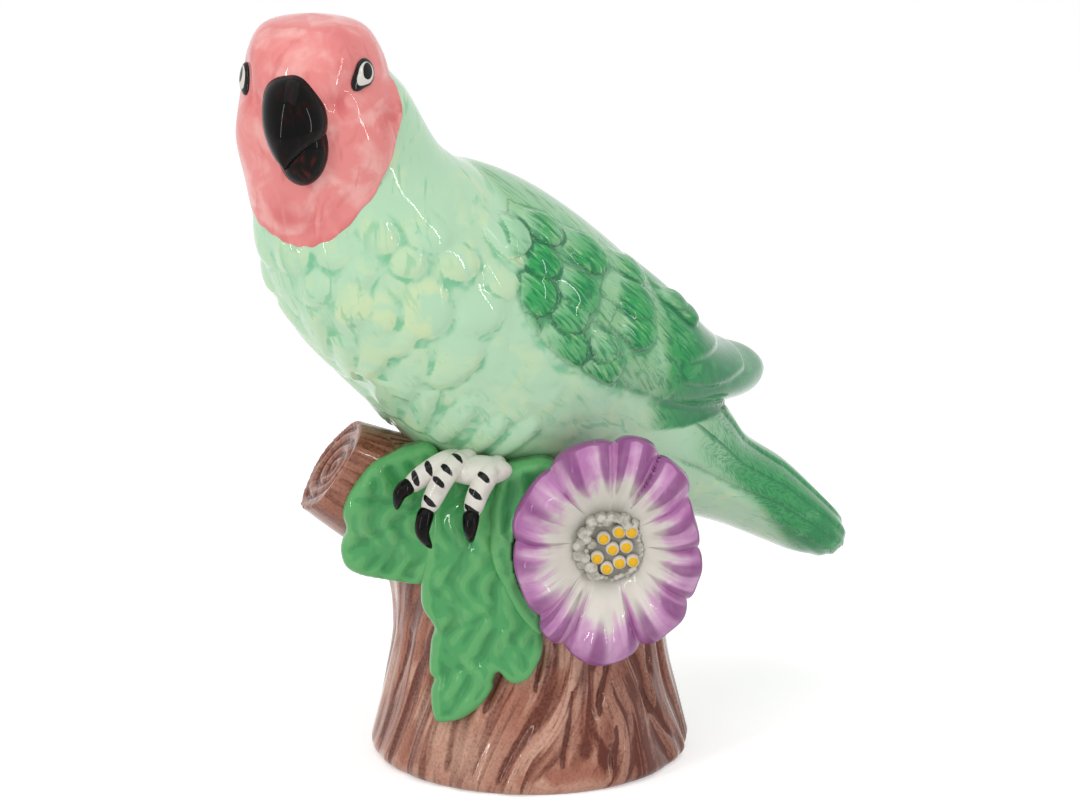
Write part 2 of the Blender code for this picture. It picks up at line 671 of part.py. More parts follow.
def flower_form(around=160, along=60):
    def place(t, angle):
        reach, across, petal = petal_place(angle)
        front = np.clip(t / 0.68, 0, 1)
        behind = np.clip((t - 0.68) / 0.32, 0, 1)
        radius = reach * np.where(t < 0.68, np.sqrt(np.clip(front, 0, 1)), 1 - behind**1.3)
        share = radius / reach
        cup = smoothstep((share - CUP_SHARE) / (CREST_SHARE - CUP_SHARE))
        roll = np.clip((share - CREST_SHARE) / (1 - CREST_SHARE), 0, 1) ** 2
        bulge = PETAL_BULGE * smoothstep((share - 0.3) / 0.5) * (1 - np.abs(across) ** 2.2 * 1.4)
        fold = 0.0008 * np.sin(across * 5.5 + petal * 2.1) * smoothstep((share - 0.35) / 0.3)
        top = FLOWER_CUP * (cup - 1) - FLOWER_ROLL * roll + bulge + fold
        rim = -FLOWER_ROLL
        toward = np.where(t < 0.68, top, rim - FLOWER_LIP - FLOWER_ROOT * behind**0.8)
        x, y, z = flower_centre()
        return np.column_stack((x + radius * np.cos(angle), y - toward, z + radius * np.sin(angle)))

    return skin(around, along, place)


def anther_forms():
    x, y, z = flower_centre()
    floor = y + FLOWER_CUP
    radii = (ANTHER_RADIUS, 1.2 * ANTHER_RADIUS, ANTHER_RADIUS)
    return [ball((x + dx, floor - ANTHER_RADIUS / 2, z + dz), radii, segments=12) for dx, dz in ANTHERS]


def toe_forms():
    def in_front(points):
        return [(x, -CROWN_RADIUS - out, STUMP_HEIGHT + up) for x, out, up in points]

    toes = [limb(in_front(points), TOE_RADIUS, TOE_TAPER) for points in TOES]
    return toes + [limb(in_front(points), CLAW_RADIUS, CLAW_TAPER) for points in CLAWS]


def far_toe_forms():
    forms = []
    for turn in FAR_TOE_TURNS:
        across, ahead = math.cos(turn), math.sin(turn)
        for points, radius, taper in (
            (FAR_TOE, TOE_RADIUS, TOE_TAPER),
            (FAR_CLAW, CLAW_RADIUS, CLAW_TAPER),
        ):
            reach = [(CROWN_RADIUS + out, STUMP_HEIGHT + up) for out, up in points]
            forms.append(limb([(r * across, r * ahead, z) for r, z in reach], radius, taper))
    return forms


def together(forms):
    """One mesh that holds copies of all the forms."""
    joined = bmesh.new()
    for bm in forms:
        piece = bpy.data.meshes.new("form")
        bm.to_mesh(piece)
        joined.from_mesh(piece)
        bpy.data.meshes.remove(piece)
    return joined


def add_object(name, forms):
    """One object that holds all of the forms."""
    mesh = bpy.data.meshes.new(name)
    together(forms).to_mesh(mesh)
    obj = bpy.data.objects.new(name, mesh)
    bpy.context.scene.collection.objects.link(obj)
    return obj


def bake(obj):
    """Replaces an object's mesh by the one that its modifiers make."""
    graph = bpy.context.evaluated_depsgraph_get()
    made = bpy.data.meshes.new_from_object(obj.evaluated_get(graph))
    obj.modifiers.clear()
    obj.data = made


def fuse(obj, voxel):
    """Turns overlapping forms into one skin."""
    remesh = obj.modifiers.new("Fuse", "REMESH")
    remesh.mode = "VOXEL"
    remesh.voxel_size = voxel
    bake(obj)


def thin(obj, triangles):
    """Leaves about this many triangles, most of them where the skin bends."""
    faces = sum(len(p.vertices) - 2 for p in obj.data.polygons)
    decimate = obj.modifiers.new("Thin", "DECIMATE")
    decimate.ratio = min(1, triangles / faces)
    decimate.use_collapse_triangulate = True
    bake(obj)


def soften(obj, times):
    smooth = obj.modifiers.new("Soften", "SMOOTH")
    smooth.factor = 0.5
    smooth.iterations = times
    bake(obj)


def blend_neck(obj):
    """Smooths the skin where the head joins the body, behind the beak and below the eyes."""
    bm = bmesh.new()
    bm.from_mesh(obj.data)
    to_head = head_matrix().inverted()
    neck = []
    for vert in bm.verts:
        x, y, z = to_head @ vert.co
        beside = abs(x) < 0.036 and -0.058 < z < -0.002 and y < 0.045
        if beside and (y > -0.006 or z < -0.029):
            neck.append(vert)
    for _ in range(NECK_BLEND):
        bmesh.ops.smooth_vert(
            bm, verts=neck, factor=0.5, use_axis_x=True, use_axis_y=True, use_axis_z=True
        )
    bm.to_mesh(obj.data)
    bm.free()


def cut_flat(obj):
    """Cuts the foot off level at the floor and closes it."""
    bm = bmesh.new()
    bm.from_mesh(obj.data)
    everything = [*bm.verts, *bm.edges, *bm.faces]
    bmesh.ops.bisect_plane(
        bm, geom=everything, dist=1e-6, plane_co=(0, 0, 0), plane_no=(0, 0, -1), clear_outer=True
    )
    rim = [e for e in bm.edges if e.is_boundary]
    bmesh.ops.edgeloop_fill(bm, edges=rim)
    bmesh.ops.recalc_face_normals(bm, faces=bm.faces)
    bm.to_mesh(obj.data)
    bm.free()


def in_place(forms, matrix):
    for bm in forms:
        bm.transform(matrix)
    return forms


def outer_skin():
    stump = [stump_form(), stub_form()]
    support = BVHTree.FromBMesh(together(stump))
    forms = stump + leaf_forms(support, LEAF_STEP)
    forms += in_place([body_form(), wing_form()], bird_matrix())
    forms += in_place([head_form()] + beak_forms() + eye_forms(), head_matrix())
    forms += [flower_form(), *anther_forms(), *toe_forms(), *far_toe_forms()]
    obj = add_object("parrot_figurine", forms)
    fuse(obj, SKIN_VOXEL)
    blend_neck(obj)
    soften(obj, 1)
    thin(obj, SKIN_TRIANGLES)
    cut_flat(obj)
    return obj


def cavity():
    """The hollow that the slip leaves: the plain forms, drawn in by the wall."""
    body = [
        saddle(BODY_SECTIONS[:9], BODY_HALF_WIDTH, WALL, 48, 48, 0.06),
        ball(*PASSAGE),
    ]
    forms = in_place(body, bird_matrix()) + in_place([head_form(WALL)], head_matrix())
    forms.append(stump_form(WALL))
    obj = add_object("hollow", forms)
    fuse(obj, CAVITY_VOXEL)
    thin(obj, CAVITY_TRIANGLES)
    return obj


def vent():
    bm = bmesh.new()
    bmesh.ops.create_cone(
        bm, cap_ends=True, segments=24, radius1=VENT_RADIUS, radius2=VENT_RADIUS, depth=3 * WALL
    )
    bm.transform(Matrix.Translation((0, VENT_SETBACK, WALL / 2)))
    return add_object("vent", [bm])


def take_away(obj, cutter):
    cut = obj.modifiers.new("Cut", "BOOLEAN")
    cut.operation = "DIFFERENCE"
    cut.solver = "EXACT"
    cut.object = cutter
    bake(obj)
    bpy.data.objects.remove(cutter)


def glaze():
    material = bpy.data.materials.new("glazed ceramic")
    material.use_nodes = True
    shader = material.node_tree.nodes["Principled BSDF"]
    shader.inputs["Base Color"].default_value = (0.42, 0.72, 0.50, 1)
    shader.inputs["Roughness"].default_value = 0.15
    return material


def main():
    for obj in list(bpy.data.objects):
        bpy.data.objects.remove(obj)
    figurine = outer_skin()
    take_away(figurine, cavity())
    take_away(figurine, vent())
    figurine.data.materials.clear()
    figurine.data.materials.append(glaze())
    for polygon in figurine.data.polygons:
        polygon.use_smooth = True


main()
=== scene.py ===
"""Looks of the glazed ceramic parrot on its tree stump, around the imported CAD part.

The file is laid out as an add-on and is run as a script. Metres, +Z up, the flower looks along -Y.
"""

import math

import bmesh
import bpy
import numpy as np
from bpy.props import FloatProperty, FloatVectorProperty, PointerProperty
from mathutils import Matrix, Vector
from mathutils.bvhtree import BVHTree


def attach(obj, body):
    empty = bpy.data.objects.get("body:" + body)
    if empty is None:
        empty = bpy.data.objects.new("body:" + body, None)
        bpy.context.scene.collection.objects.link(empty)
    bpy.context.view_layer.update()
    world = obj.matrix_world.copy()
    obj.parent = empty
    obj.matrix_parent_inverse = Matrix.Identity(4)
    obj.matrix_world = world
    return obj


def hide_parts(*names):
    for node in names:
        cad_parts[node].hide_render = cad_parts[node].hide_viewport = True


bl_info = {
    "name": "Parrot Figurine",
    "version": (1, 0, 0),
    "blender": (4, 5, 0),
    "location": "View3D > Sidebar > Figurine",
    "description": "Builds a hand-painted ceramic parrot on a tree stump with leaves and a flower",
    "category": "Add Mesh",
}

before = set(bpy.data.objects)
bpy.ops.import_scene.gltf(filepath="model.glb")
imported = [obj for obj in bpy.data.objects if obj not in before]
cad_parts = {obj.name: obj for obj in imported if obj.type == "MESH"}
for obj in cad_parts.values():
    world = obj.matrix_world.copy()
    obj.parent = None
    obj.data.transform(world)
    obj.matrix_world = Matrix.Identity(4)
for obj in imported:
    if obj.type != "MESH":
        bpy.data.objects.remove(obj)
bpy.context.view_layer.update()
NODE = "parrot_figurine"

# Stump
BASE_RADIUS = 0.0520
WAIST_RADIUS = 0.0435
WAIST_HEIGHT = 0.042
CROWN_RADIUS = 0.0475
STUMP_HEIGHT = 0.096
FOOT_ROUND = 0.005
BARK_GROOVES = 17
STUMP_OVERCUT = 0.010
# Deep cuts in the bark: turn from +X in degrees and height at the top, the same at the foot, width
GASHES = (
    (-33, 0.046, -31, 0.030, 0.0011),
    (-41, 0.030, -22, 0.0090, 0.0015),
    (-103, 0.043, -109, 0.0235, 0.0017),
    (-56, 0.0220, -58, 0.0010, 0.0009),
    (-57, 0.043, -61, 0.0220, 0.0015),
    (-86, 0.050, -88, 0.0310, 0.0012),
    (-74, 0.036, -78, 0.0060, 0.0010),
    (-152, 0.050, -160, 0.0180, 0.0010),
    (60, 0.070, 64, 0.0300, 0.0014),
    (130, 0.050, 124, 0.0100, 0.0014),
    (10, 0.060, 16, 0.0320, 0.0012),
    (175, 0.035, 170, 0.0080, 0.0012),
    (95, 0.030, 97, 0.0060, 0.0012),
)

# Sawn branch on the stump's left
STUB_TURN = math.radians(24)
STUB_RISE = math.radians(30)
STUB_DROP = 0.033
STUB_LENGTH = 0.080
STUB_RADIUS = 0.0165
STUB_ROOT_RADIUS = 0.0240
RING_PITCH = 0.0050
RING_DEPTH = 0.0013
# How far the cut leans back at the top and at the rear, as slopes
END_SLANT = (0.12, 0.20)

# Parrot. It sits on the crown, and faces this far round from -X towards -Y.
BIRD_TURN = math.radians(37)
BODY_HALF_WIDTH = 0.0400
WING_HALF_WIDTH = 0.0440
HEAD_TURN = math.radians(15)
HEAD_FORWARD = 0.082
HEAD_ABOVE_CROWN = 0.128
BREAST_LENGTH = 0.0085
BREAST_WIDTH = 0.0100
BREAST_START = 0.040
BREAST_END = 0.180
TAIL_START = 0.172
# Width of one long tail feather, as a share of the way from the back to the keel
TAIL_FEATHER = 0.19

# Leaves and flower
LEFT_LEAF_LIFT = 0.0045
HANGING_LEAF_LIFT = 0.0050
INNER_LEAF_LIFT = 0.0085
LEAF_BACK = 0.0045
LEAF_FREE = 0.0095
LEAF_EDGE = 0.0030
LEAF_DRAPE = 0.012
VEIN_WIDTH = 0.0013
FLOWER_REAR = 0.0470
RIM_LIFT = 0.0050
FLOWER_ACROSS = 0.0240
FLOWER_DROP = 0.015
FLOWER_STAND = 0.0130
FLOWER_ROLL = 0.0050
FLOWER_LIP = 0.0020
FLOWER_ROOT = 0.0170
CUP_SHARE = 0.24
CREST_SHARE = 0.78

# The parrot's side view, crown to tail tip. Each row is one section: its point on the back and its
# point on the breast, both as forward and up, then its half-width as a share of the widest.
BODY_SECTIONS = (
    (0.0600, 0.1380, 0.0880, 0.1430, 0.42),
    (0.0525, 0.1285, 0.0900, 0.1300, 0.54),
    (0.0408, 0.1106, 0.0960, 0.1110, 0.64),
    (0.0285, 0.1024, 0.0975, 0.0920, 0.77),
    (0.006, 0.090, 0.0948, 0.0715, 0.91),
    (-0.016, 0.074, 0.0808, 0.0511, 0.99),
    (-0.036, 0.056, 0.0595, 0.0298, 1.00),
    (-0.052, 0.038, 0.0408, 0.0104, 0.94),
    (-0.064, 0.023, 0.014, -0.004, 0.82),
    (-0.074, 0.009, -0.020, -0.013, 0.70),
    (-0.084, -0.003, -0.050, -0.0240, 0.55),
    (-0.1019, -0.0152, -0.0762, -0.0337, 0.46),
    (-0.1180, -0.0300, -0.0990, -0.0447, 0.40),
    (-0.1325, -0.0445, -0.1205, -0.0560, 0.34),
)
# The folded wings, in the same way: the line of the back, then the wings' lower edge.
WING_SECTIONS = (
    (0.044, 0.104, 0.068, 0.064, 0.66),
    (0.027, 0.103, 0.058, 0.047, 0.83),
    (0.006, 0.0940, 0.038, 0.031, 0.96),
    (-0.0178, 0.0768, 0.014, 0.021, 1.00),
    (-0.0387, 0.0570, -0.012, 0.015, 0.94),
    (-0.0570, 0.0392, -0.037, 0.012, 0.80),
    (-0.0725, 0.0308, -0.060, 0.0110, 0.60),
    (-0.0852, 0.0268, -0.0785, 0.0100, 0.36),
    (-0.0928, 0.0212, -0.0900, 0.0138, 0.15),
)
# Each covert in the side view: its middle as forward and up, its length, its width, and how
# strongly it is painted green.
COVERTS = (
    (0.0355, 0.0855, 0.017, 0.0130, 0.30),
    (0.0210, 0.0855, 0.015, 0.0115, 0.60),
    (0.0260, 0.0770, 0.014, 0.0105, 0.85),
    (0.0295, 0.0675, 0.015, 0.0120, 0.90),
    (0.0345, 0.0580, 0.014, 0.0105, 0.75),
    (0.0380, 0.0480, 0.015, 0.0115, 0.50),
    (0.0365, 0.0375, 0.013, 0.0105, 0.40),
    (0.0060, 0.0765, 0.018, 0.0130, 0.80),
    (0.0140, 0.0660, 0.016, 0.0125, 0.80),
    (0.0180, 0.0600, 0.014, 0.0110, 0.70),
    (0.0190, 0.0490, 0.017, 0.0135, 0.70),
    (0.0220, 0.0390, 0.013, 0.0110, 0.55),
    (0.0195, 0.0290, 0.012, 0.0105, 0.90),
    (-0.0135, 0.0675, 0.015, 0.0115, 0.70),
    (-0.0100, 0.0595, 0.018, 0.0130, 0.85),
    (-0.0095, 0.0510, 0.014, 0.0115, 0.90),
    (0.0050, 0.0475, 0.011, 0.0085, 0.55),
    (0.0040, 0.0405, 0.014, 0.0120, 0.65),
    (0.0035, 0.0320, 0.015, 0.0130, 0.80),
    (0.0015, 0.0235, 0.012, 0.0120, 1.00),
    (-0.0315, 0.0535, 0.012, 0.0090, 0.55),
    (-0.0350, 0.0490, 0.011, 0.0080, 0.60),
    (0.0500, 0.0625, 0.023, 0.0210, 0.12),
)
COVERT_SLANT = math.radians(40)
BARB_SLANT = math.radians(48)
# Each large soft feather of the breast: its middle in the parrot's frame, its length, its width,
# and how strongly its middle is painted cream.
BREAST_FEATHERS = (
    (0.0959, 0.0084, 0.0840, 0.0150, 0.0110, 0.4),
    (0.0784, 0.0284, 0.0902, 0.0140, 0.0100, 0.6),
    (0.0634, 0.0337, 0.0890, 0.0120, 0.0150, 0.0),
    (0.0549, 0.0368, 0.0800, 0.0130, 0.0140, 0.7),
    (0.0375, 0.0365, 0.0850, 0.0140, 0.0100, 0.6),
    (0.0404, 0.0390, 0.0728, 0.0140, 0.0110, 0.5),
    (0.0705, 0.0325, 0.0816, 0.0120, 0.0110, 0.5),
    (0.0892, 0.0200, 0.0844, 0.0110, 0.0100, 0.3),
    (0.0831, 0.0251, 0.0787, 0.0100, 0.0080, 0.7),
    (0.0907, 0.0133, 0.0726, 0.0110, 0.0100, 0.4),
    (0.0827, 0.0216, 0.0689, 0.0170, 0.0100, 1.0),
    (0.0756, 0.0255, 0.0653, 0.0160, 0.0080, 0.9),
    (0.0639, 0.0326, 0.0665, 0.0230, 0.0150, 1.0),
    (0.0477, 0.0378, 0.0635, 0.0170, 0.0160, 0.8),
    (0.0684, 0.0262, 0.0577, 0.0120, 0.0080, 0.5),
    (0.0821, 0.0031, 0.0577, 0.0120, 0.0100, 0.4),
    (0.0740, 0.0056, 0.0494, 0.0120, 0.0090, 0.5),
    (0.0719, 0.0156, 0.0511, 0.0130, 0.0120, 0.6),
    (0.0524, 0.0317, 0.0495, 0.0180, 0.0150, 0.4),
    (0.0619, 0.0205, 0.0446, 0.0160, 0.0090, 0.4),
    (0.0605, 0.0062, 0.0355, 0.0110, 0.0110, 0.3),
    (0.0531, 0.0143, 0.0309, 0.0100, 0.0100, 0.2),
    (0.0450, 0.0200, 0.0270, 0.0090, 0.0130, 0.2),
    (0.0363, 0.0248, 0.0209, 0.0080, 0.0100, 0.3),
    (0.0275, 0.0297, 0.0197, 0.0080, 0.0110, 0.2),
)
BREAST_SLANT = math.radians(68)
# The upper two layers of long feathers at the wing tip, in the side view
WING_LAYERS = (
    (
        (-0.0180, 0.0660), (-0.0190, 0.0380), (-0.0275, 0.0370), (-0.0415, 0.0360), (-0.0560, 0.0355),
        (-0.0630, 0.0400), (-0.0600, 0.0660),
    ),
    (
        (-0.0240, 0.0660), (-0.0300, 0.0300), (-0.0430, 0.0260), (-0.0540, 0.0255), (-0.0660, 0.0260),
        (-0.0735, 0.0300), (-0.0720, 0.0660),
    ),
)
# The head, crown to throat, in its own frame: height, face, nape, half-width and how far aside.
HEAD_SECTIONS = (
    (0.0254, 0.0000, 0.0010, 0.0005, -0.0018),
    (0.0229, -0.0125, 0.0120, 0.0140, -0.0014),
    (0.0158, -0.0205, 0.0200, 0.0194, -0.0010),
    (0.0060, -0.0243, 0.0240, 0.0220, -0.0004),
    (-0.0050, -0.0240, 0.0245, 0.0239, 0.0004),
    (-0.0150, -0.0226, 0.0240, 0.0249, 0.0008),
    (-0.0270, -0.0205, 0.0225, 0.0234, 0.0012),
    (-0.0380, -0.0182, 0.0200, 0.0210, 0.0006),
    (-0.0470, -0.0140, 0.0170, 0.0170, 0.0000),
    (-0.0530, -0.0020, 0.0100, 0.0020, 0.0000),
)
# The lower edge of the pink hood: its height at each turn round the head from straight ahead, the
# parrot's left being positive, in degrees.
HOOD_EDGE = (
    (-180, 0.0170), (-140, 0.0110), (-110, -0.0060), (-90, -0.0200), (-71, -0.0330), (-40, -0.0385),
    (-13, -0.0430), (13, -0.0428), (38, -0.0372), (61, -0.0264), (77, -0.0150), (88, -0.0050),
    (99, 0.0060), (110, 0.0145), (128, 0.0180), (180, 0.0170),
)
# Dents and swellings of the face on one side: a place in the head's frame, a radius and a height.
FACE_FORMS = (
    ((0.0172, -0.0135, 0.0085), 0.0068, -0.0015),
    ((0.0150, -0.0165, 0.0180), 0.0060, 0.0014),
    ((0.0128, -0.0200, 0.0025), 0.0042, -0.0018),
    ((0.0215, -0.0110, -0.0090), 0.0080, 0.0010),
    ((0.0262, 0.0010, -0.0050), 0.0052, 0.0018),
)
# Where the pink is painted darker, in the same way, with a strength.
FACE_BLUSHES = (
    ((0.0135, -0.0190, 0.0030), 0.0048, 1.0),
    ((0.0165, -0.0160, 0.0150), 0.0050, 0.7),
    ((0.0240, -0.0060, -0.0050), 0.0062, 0.8),
    ((0.0050, -0.0200, -0.0330), 0.0062, 0.8),
    ((0.0110, -0.0120, 0.0225), 0.0055, 0.5),
    ((0.0255, 0.0030, -0.0060), 0.0050, 0.9),
)
# The upper beak, root to hook, in the head's frame: its ridge's depth and height, its width to the
# parrot's right and to its left of the ridge, and how far aside the ridge is.
BEAK_SECTIONS = (
    (-0.0185, 0.0118, 0.0040, 0.0020, 0.0002),
    (-0.0240, 0.0104, 0.0076, 0.0042, 0.0002),
    (-0.0275, 0.0070, 0.0096, 0.0066, 0.0002),
    (-0.0298, 0.0026, 0.0100, 0.0088, 0.0002),
    (-0.0312, -0.0022, 0.0094, 0.0102, 0.0000),
    (-0.0318, -0.0064, 0.0082, 0.0098, -0.0002),
    (-0.0314, -0.0104, 0.0065, 0.0066, -0.0004),
    (-0.0305, -0.0137, 0.0043, 0.0032, -0.0006),
    (-0.0292, -0.0160, 0.0014, 0.0010, -0.0006),
)
BEAK_BACK = 0.0080
BEAK_HALF_DEPTH = 0.0098
BEAK_RIDGE = 0.0006
LOWER_BEAK = ((0.0024, -0.0228, -0.0103), (0.0079, 0.0070, 0.0117))
# Each eye: its middle in the head's frame, how far it is turned from straight ahead, and the
# direction of its corner on its own face, both in degrees.
EYES = (((0.0199, -0.0121, 0.0106), 42, 216), ((-0.0190, -0.0110, 0.0080), -56, 322))
# An eye's half-width, half-thickness and half-height, how far its corner is drawn out as a share of
# them, and how far it is lifted off the hood.
EYE_RADII = (0.0036, 0.0015, 0.0041)
EYE_CORNER = 0.78
EYE_EDGE = 0.0003
# Leaves as they lie over the stump: outlines and veins, both as X and height above the crown.
LEFT_LEAF = (
    (-0.0300, 0.0145), (-0.0380, 0.0150), (-0.0440, 0.0130), (-0.0500, 0.0105), (-0.0545, 0.0055),
    (-0.0575, 0.0005), (-0.0590, -0.0050), (-0.0580, -0.0105), (-0.0595, -0.0150), (-0.0600, -0.0190),
    (-0.0585, -0.0240), (-0.0540, -0.0270), (-0.0475, -0.0287), (-0.0420, -0.0300), (-0.0340, -0.0300),
    (-0.0270, -0.0200), (-0.0250, -0.0035),
)
LEFT_VEINS = (
    ((-0.0290, 0.0040), (-0.0400, -0.0060), (-0.0580, -0.0185)),
    ((-0.0370, -0.0030), (-0.0470, 0.0000), (-0.0555, 0.0005)),
    ((-0.0400, -0.0060), (-0.0420, -0.0160), (-0.0460, -0.0245)),
)
HANGING_LEAF = (
    (-0.0335, -0.0185), (-0.0350, -0.0315), (-0.0345, -0.0380), (-0.0310, -0.0440), (-0.0320, -0.0495),
    (-0.0325, -0.0585), (-0.0310, -0.0610), (-0.0320, -0.0650), (-0.0315, -0.0715), (-0.0295, -0.0745),
    (-0.0225, -0.0730), (-0.0165, -0.0685), (-0.0125, -0.0625), (-0.0120, -0.0590), (-0.0105, -0.0565),
    (-0.0080, -0.0590), (-0.0050, -0.0600), (-0.0010, -0.0580), (0.0020, -0.0530), (0.0035, -0.0480),
    (0.0030, -0.0415), (0.0010, -0.0315), (-0.0025, -0.0185), (-0.0035, -0.0055), (-0.0050, 0.0035),
    (-0.0100, 0.0095), (-0.0190, 0.0115), (-0.0285, 0.0105),
)
HANGING_VEINS = (
    ((-0.0120, -0.0270), (-0.0125, -0.0430), (-0.0185, -0.0560), (-0.0260, -0.0710)),
    ((-0.0120, -0.0300), (-0.0060, -0.0440), (-0.0010, -0.0540)),
    ((-0.0130, -0.0360), (-0.0225, -0.0420), (-0.0305, -0.0460)),
    ((-0.0160, -0.0510), (-0.0240, -0.0560), (-0.0300, -0.0590)),
    ((-0.0170, 0.0000), (-0.0200, -0.0140), (-0.0290, -0.0310)),
)
INNER_LEAF = (
    (-0.0085, 0.0100), (-0.0035, 0.0115), (0.0040, 0.0120), (0.0085, 0.0080), (0.0060, -0.0050),
    (0.0035, -0.0180), (0.0040, -0.0310), (0.0030, -0.0430), (-0.0035, -0.0375), (-0.0090, -0.0275),
    (-0.0125, -0.0180), (-0.0130, -0.0050), (-0.0115, 0.0045),
)
INNER_VEINS = (
    ((-0.0065, 0.0050), (-0.0070, -0.0060), (-0.0045, -0.0180), (0.0010, -0.0360)),
    ((-0.0070, -0.0060), (-0.0110, -0.0110)),
    ((-0.0060, -0.0110), (-0.0105, -0.0170)),
)
# The flower's rim: the direction of each fold between two petals, then each petal's reach.
FOLDS = tuple(math.radians(a) for a in (1, 35, 63, 88, 125, 172, 224, 245, 287, 326))
REACHES = (0.0284, 0.0340, 0.0370, 0.0350, 0.0322, 0.0296, 0.0332, 0.0368, 0.0326, 0.0296)
ANTHERS = (
    (0.0031, 0.0051), (0.0070, 0.0051), (-0.0017, 0.0030), (0.0011, -0.0005), (0.0054, 0.0003),
    (-0.0037, -0.0034), (0.0033, -0.0049), (0.0075, -0.0044), (-0.0007, -0.0068),
)
# Unpainted knobs round the anthers: where they are from the flower's middle, and their radius.
KNOBS = (
    (-0.0055, 0.0010, 0.0019), (-0.0062, 0.0052, 0.0017), (-0.0030, 0.0083, 0.0020),
    (0.0010, 0.0098, 0.0018), (0.0048, 0.0096, 0.0019), (0.0083, 0.0083, 0.0015),
    (-0.0078, -0.0012, 0.0016), (-0.0079, -0.0052, 0.0017), (-0.0048, -0.0082, 0.0014),
    (-0.0088, 0.0025, 0.0013), (-0.0058, 0.0088, 0.0013), (0.0102, 0.0050, 0.0012),
)
# How many more knobs stand in a ring round the anthers
KNOB_COUNT = 40
# Near foot: toes, then claws, each as points down its middle: X, how far in front of the crown's
# rim, and height above the crown.
TOES = (
    (
        (-0.0225, -0.0095, 0.0120), (-0.0277, 0.0005, 0.0130), (-0.0335, 0.0035, 0.0100),
        (-0.0383, 0.0035, 0.0060),
    ),
    (
        (-0.0185, -0.0095, 0.0125), (-0.0245, 0.0015, 0.0122), (-0.0286, 0.0060, 0.0072),
        (-0.0325, 0.0065, -0.0010),
    ),
    (
        (-0.0100, -0.0095, 0.0105), (-0.0133, 0.0020, 0.0100), (-0.0167, 0.0060, 0.0046),
        (-0.0187, 0.0065, -0.0020),
    ),
)
CLAWS = (
    ((-0.0375, 0.0038, 0.0072), (-0.0406, 0.0070, 0.0051), (-0.0418, 0.0045, -0.0008)),
    ((-0.0322, 0.0068, 0.0005), (-0.0337, 0.0100, -0.0062), (-0.0310, 0.0068, -0.0126)),
    ((-0.0186, 0.0068, -0.0008), (-0.0190, 0.0100, -0.0053), (-0.0188, 0.0068, -0.0108)),
)
# The black marks on each near toe, as shares of its length, and those on every far toe
TOE_MARKS = ((0.55, 0.76), (0.30, 0.47, 0.63, 0.83), (0.46, 0.68, 0.86))
FAR_MARKS = (0.48, 0.64, 0.80)
# The other foot: its toes reach over the back of the crown in these directions. Each point is its
# distance from the crown's rim and its height above the crown.
FAR_TOE_TURNS = tuple(math.radians(a) for a in (172, 151, 130))
FAR_TOE = ((-0.0350, 0.0010), (-0.0095, 0.0040), (0.0010, 0.0000), (0.0030, -0.0070))
FAR_CLAW = ((0.0030, -0.0055), (0.0040, -0.0110), (0.0015, -0.0170))
TOE_RADIUS = 0.0036
CLAW_RADIUS = 0.0028
TOE_TAPER = 0.85
CLAW_TAPER = 0.15

# Studio
CAMERA_TARGET = Vector((0.0025, 0.0, 0.1148))
CAMERA_DISTANCE = 1.303
CAMERA_RISE = math.radians(15)
CAMERA_LENS = 135.73
SENSOR_WIDTH = 36.0


def linear(red, green, blue):
    """A colour given as 0 to 255, in the linear values that a shader takes."""
    return tuple((c / 255) ** 2.2 for c in (red, green, blue))


def paint(name, description, red, green, blue):
    colour = linear(red, green, blue)
    return FloatVectorProperty(
        name=name, description=description, default=colour, subtype="COLOR", size=3, min=0, max=1
    )


def length(name, description, metres):
    return FloatProperty(
        name=name, description=description, default=metres, min=0, unit="LENGTH", precision=4
    )


class FigurineSizes(bpy.types.PropertyGroup):
    """How fine the skins are, and how deep the moulded detail is."""

    plumage_grain: length("Plumage grain", "Spacing of points on the feathered skin", 0.0008)
    stump_grain: length("Stump grain", "Spacing of points on the stump", 0.0009)
    leaf_grain: length("Leaf grain", "Spacing of points on the leaves", 0.0006)
    hood_raise: length("Hood raise", "How far the pink hood stands off the neck", 0.0004)
    breast_relief: length("Breast relief", "Height of the large breast feathers", 0.0018)
    flank_relief: length("Flank relief", "Height of the small body feathers", 0.0007)
    left_swell: length("Left swell", "How far the stump bulges under the branch", 0.0018)
    covert_relief: length("Covert relief", "Height of the wing coverts", 0.0026)
    layer_step: length("Layer step", "Height of each layer of long wing feathers", 0.0013)
    tail_relief: length("Tail relief", "Height of the long tail feathers", 0.0010)
    bark_depth: length("Bark depth", "Depth of the grooves in the bark", 0.0028)
    vein_depth: length("Vein depth", "Depth of the leaf veins", 0.0004)
    flower_cup: length("Flower cup", "Depth of the flower's cup", 0.0085)
    petal_bulge: length("Petal bulge", "Height of each petal between its folds", 0.0026)
    anther_radius: length("Anther radius", "Radius of a yellow anther", 0.0022)
    barb_depth: length("Barb depth", "Depth of the lines cut in the feathers", 0.0003)


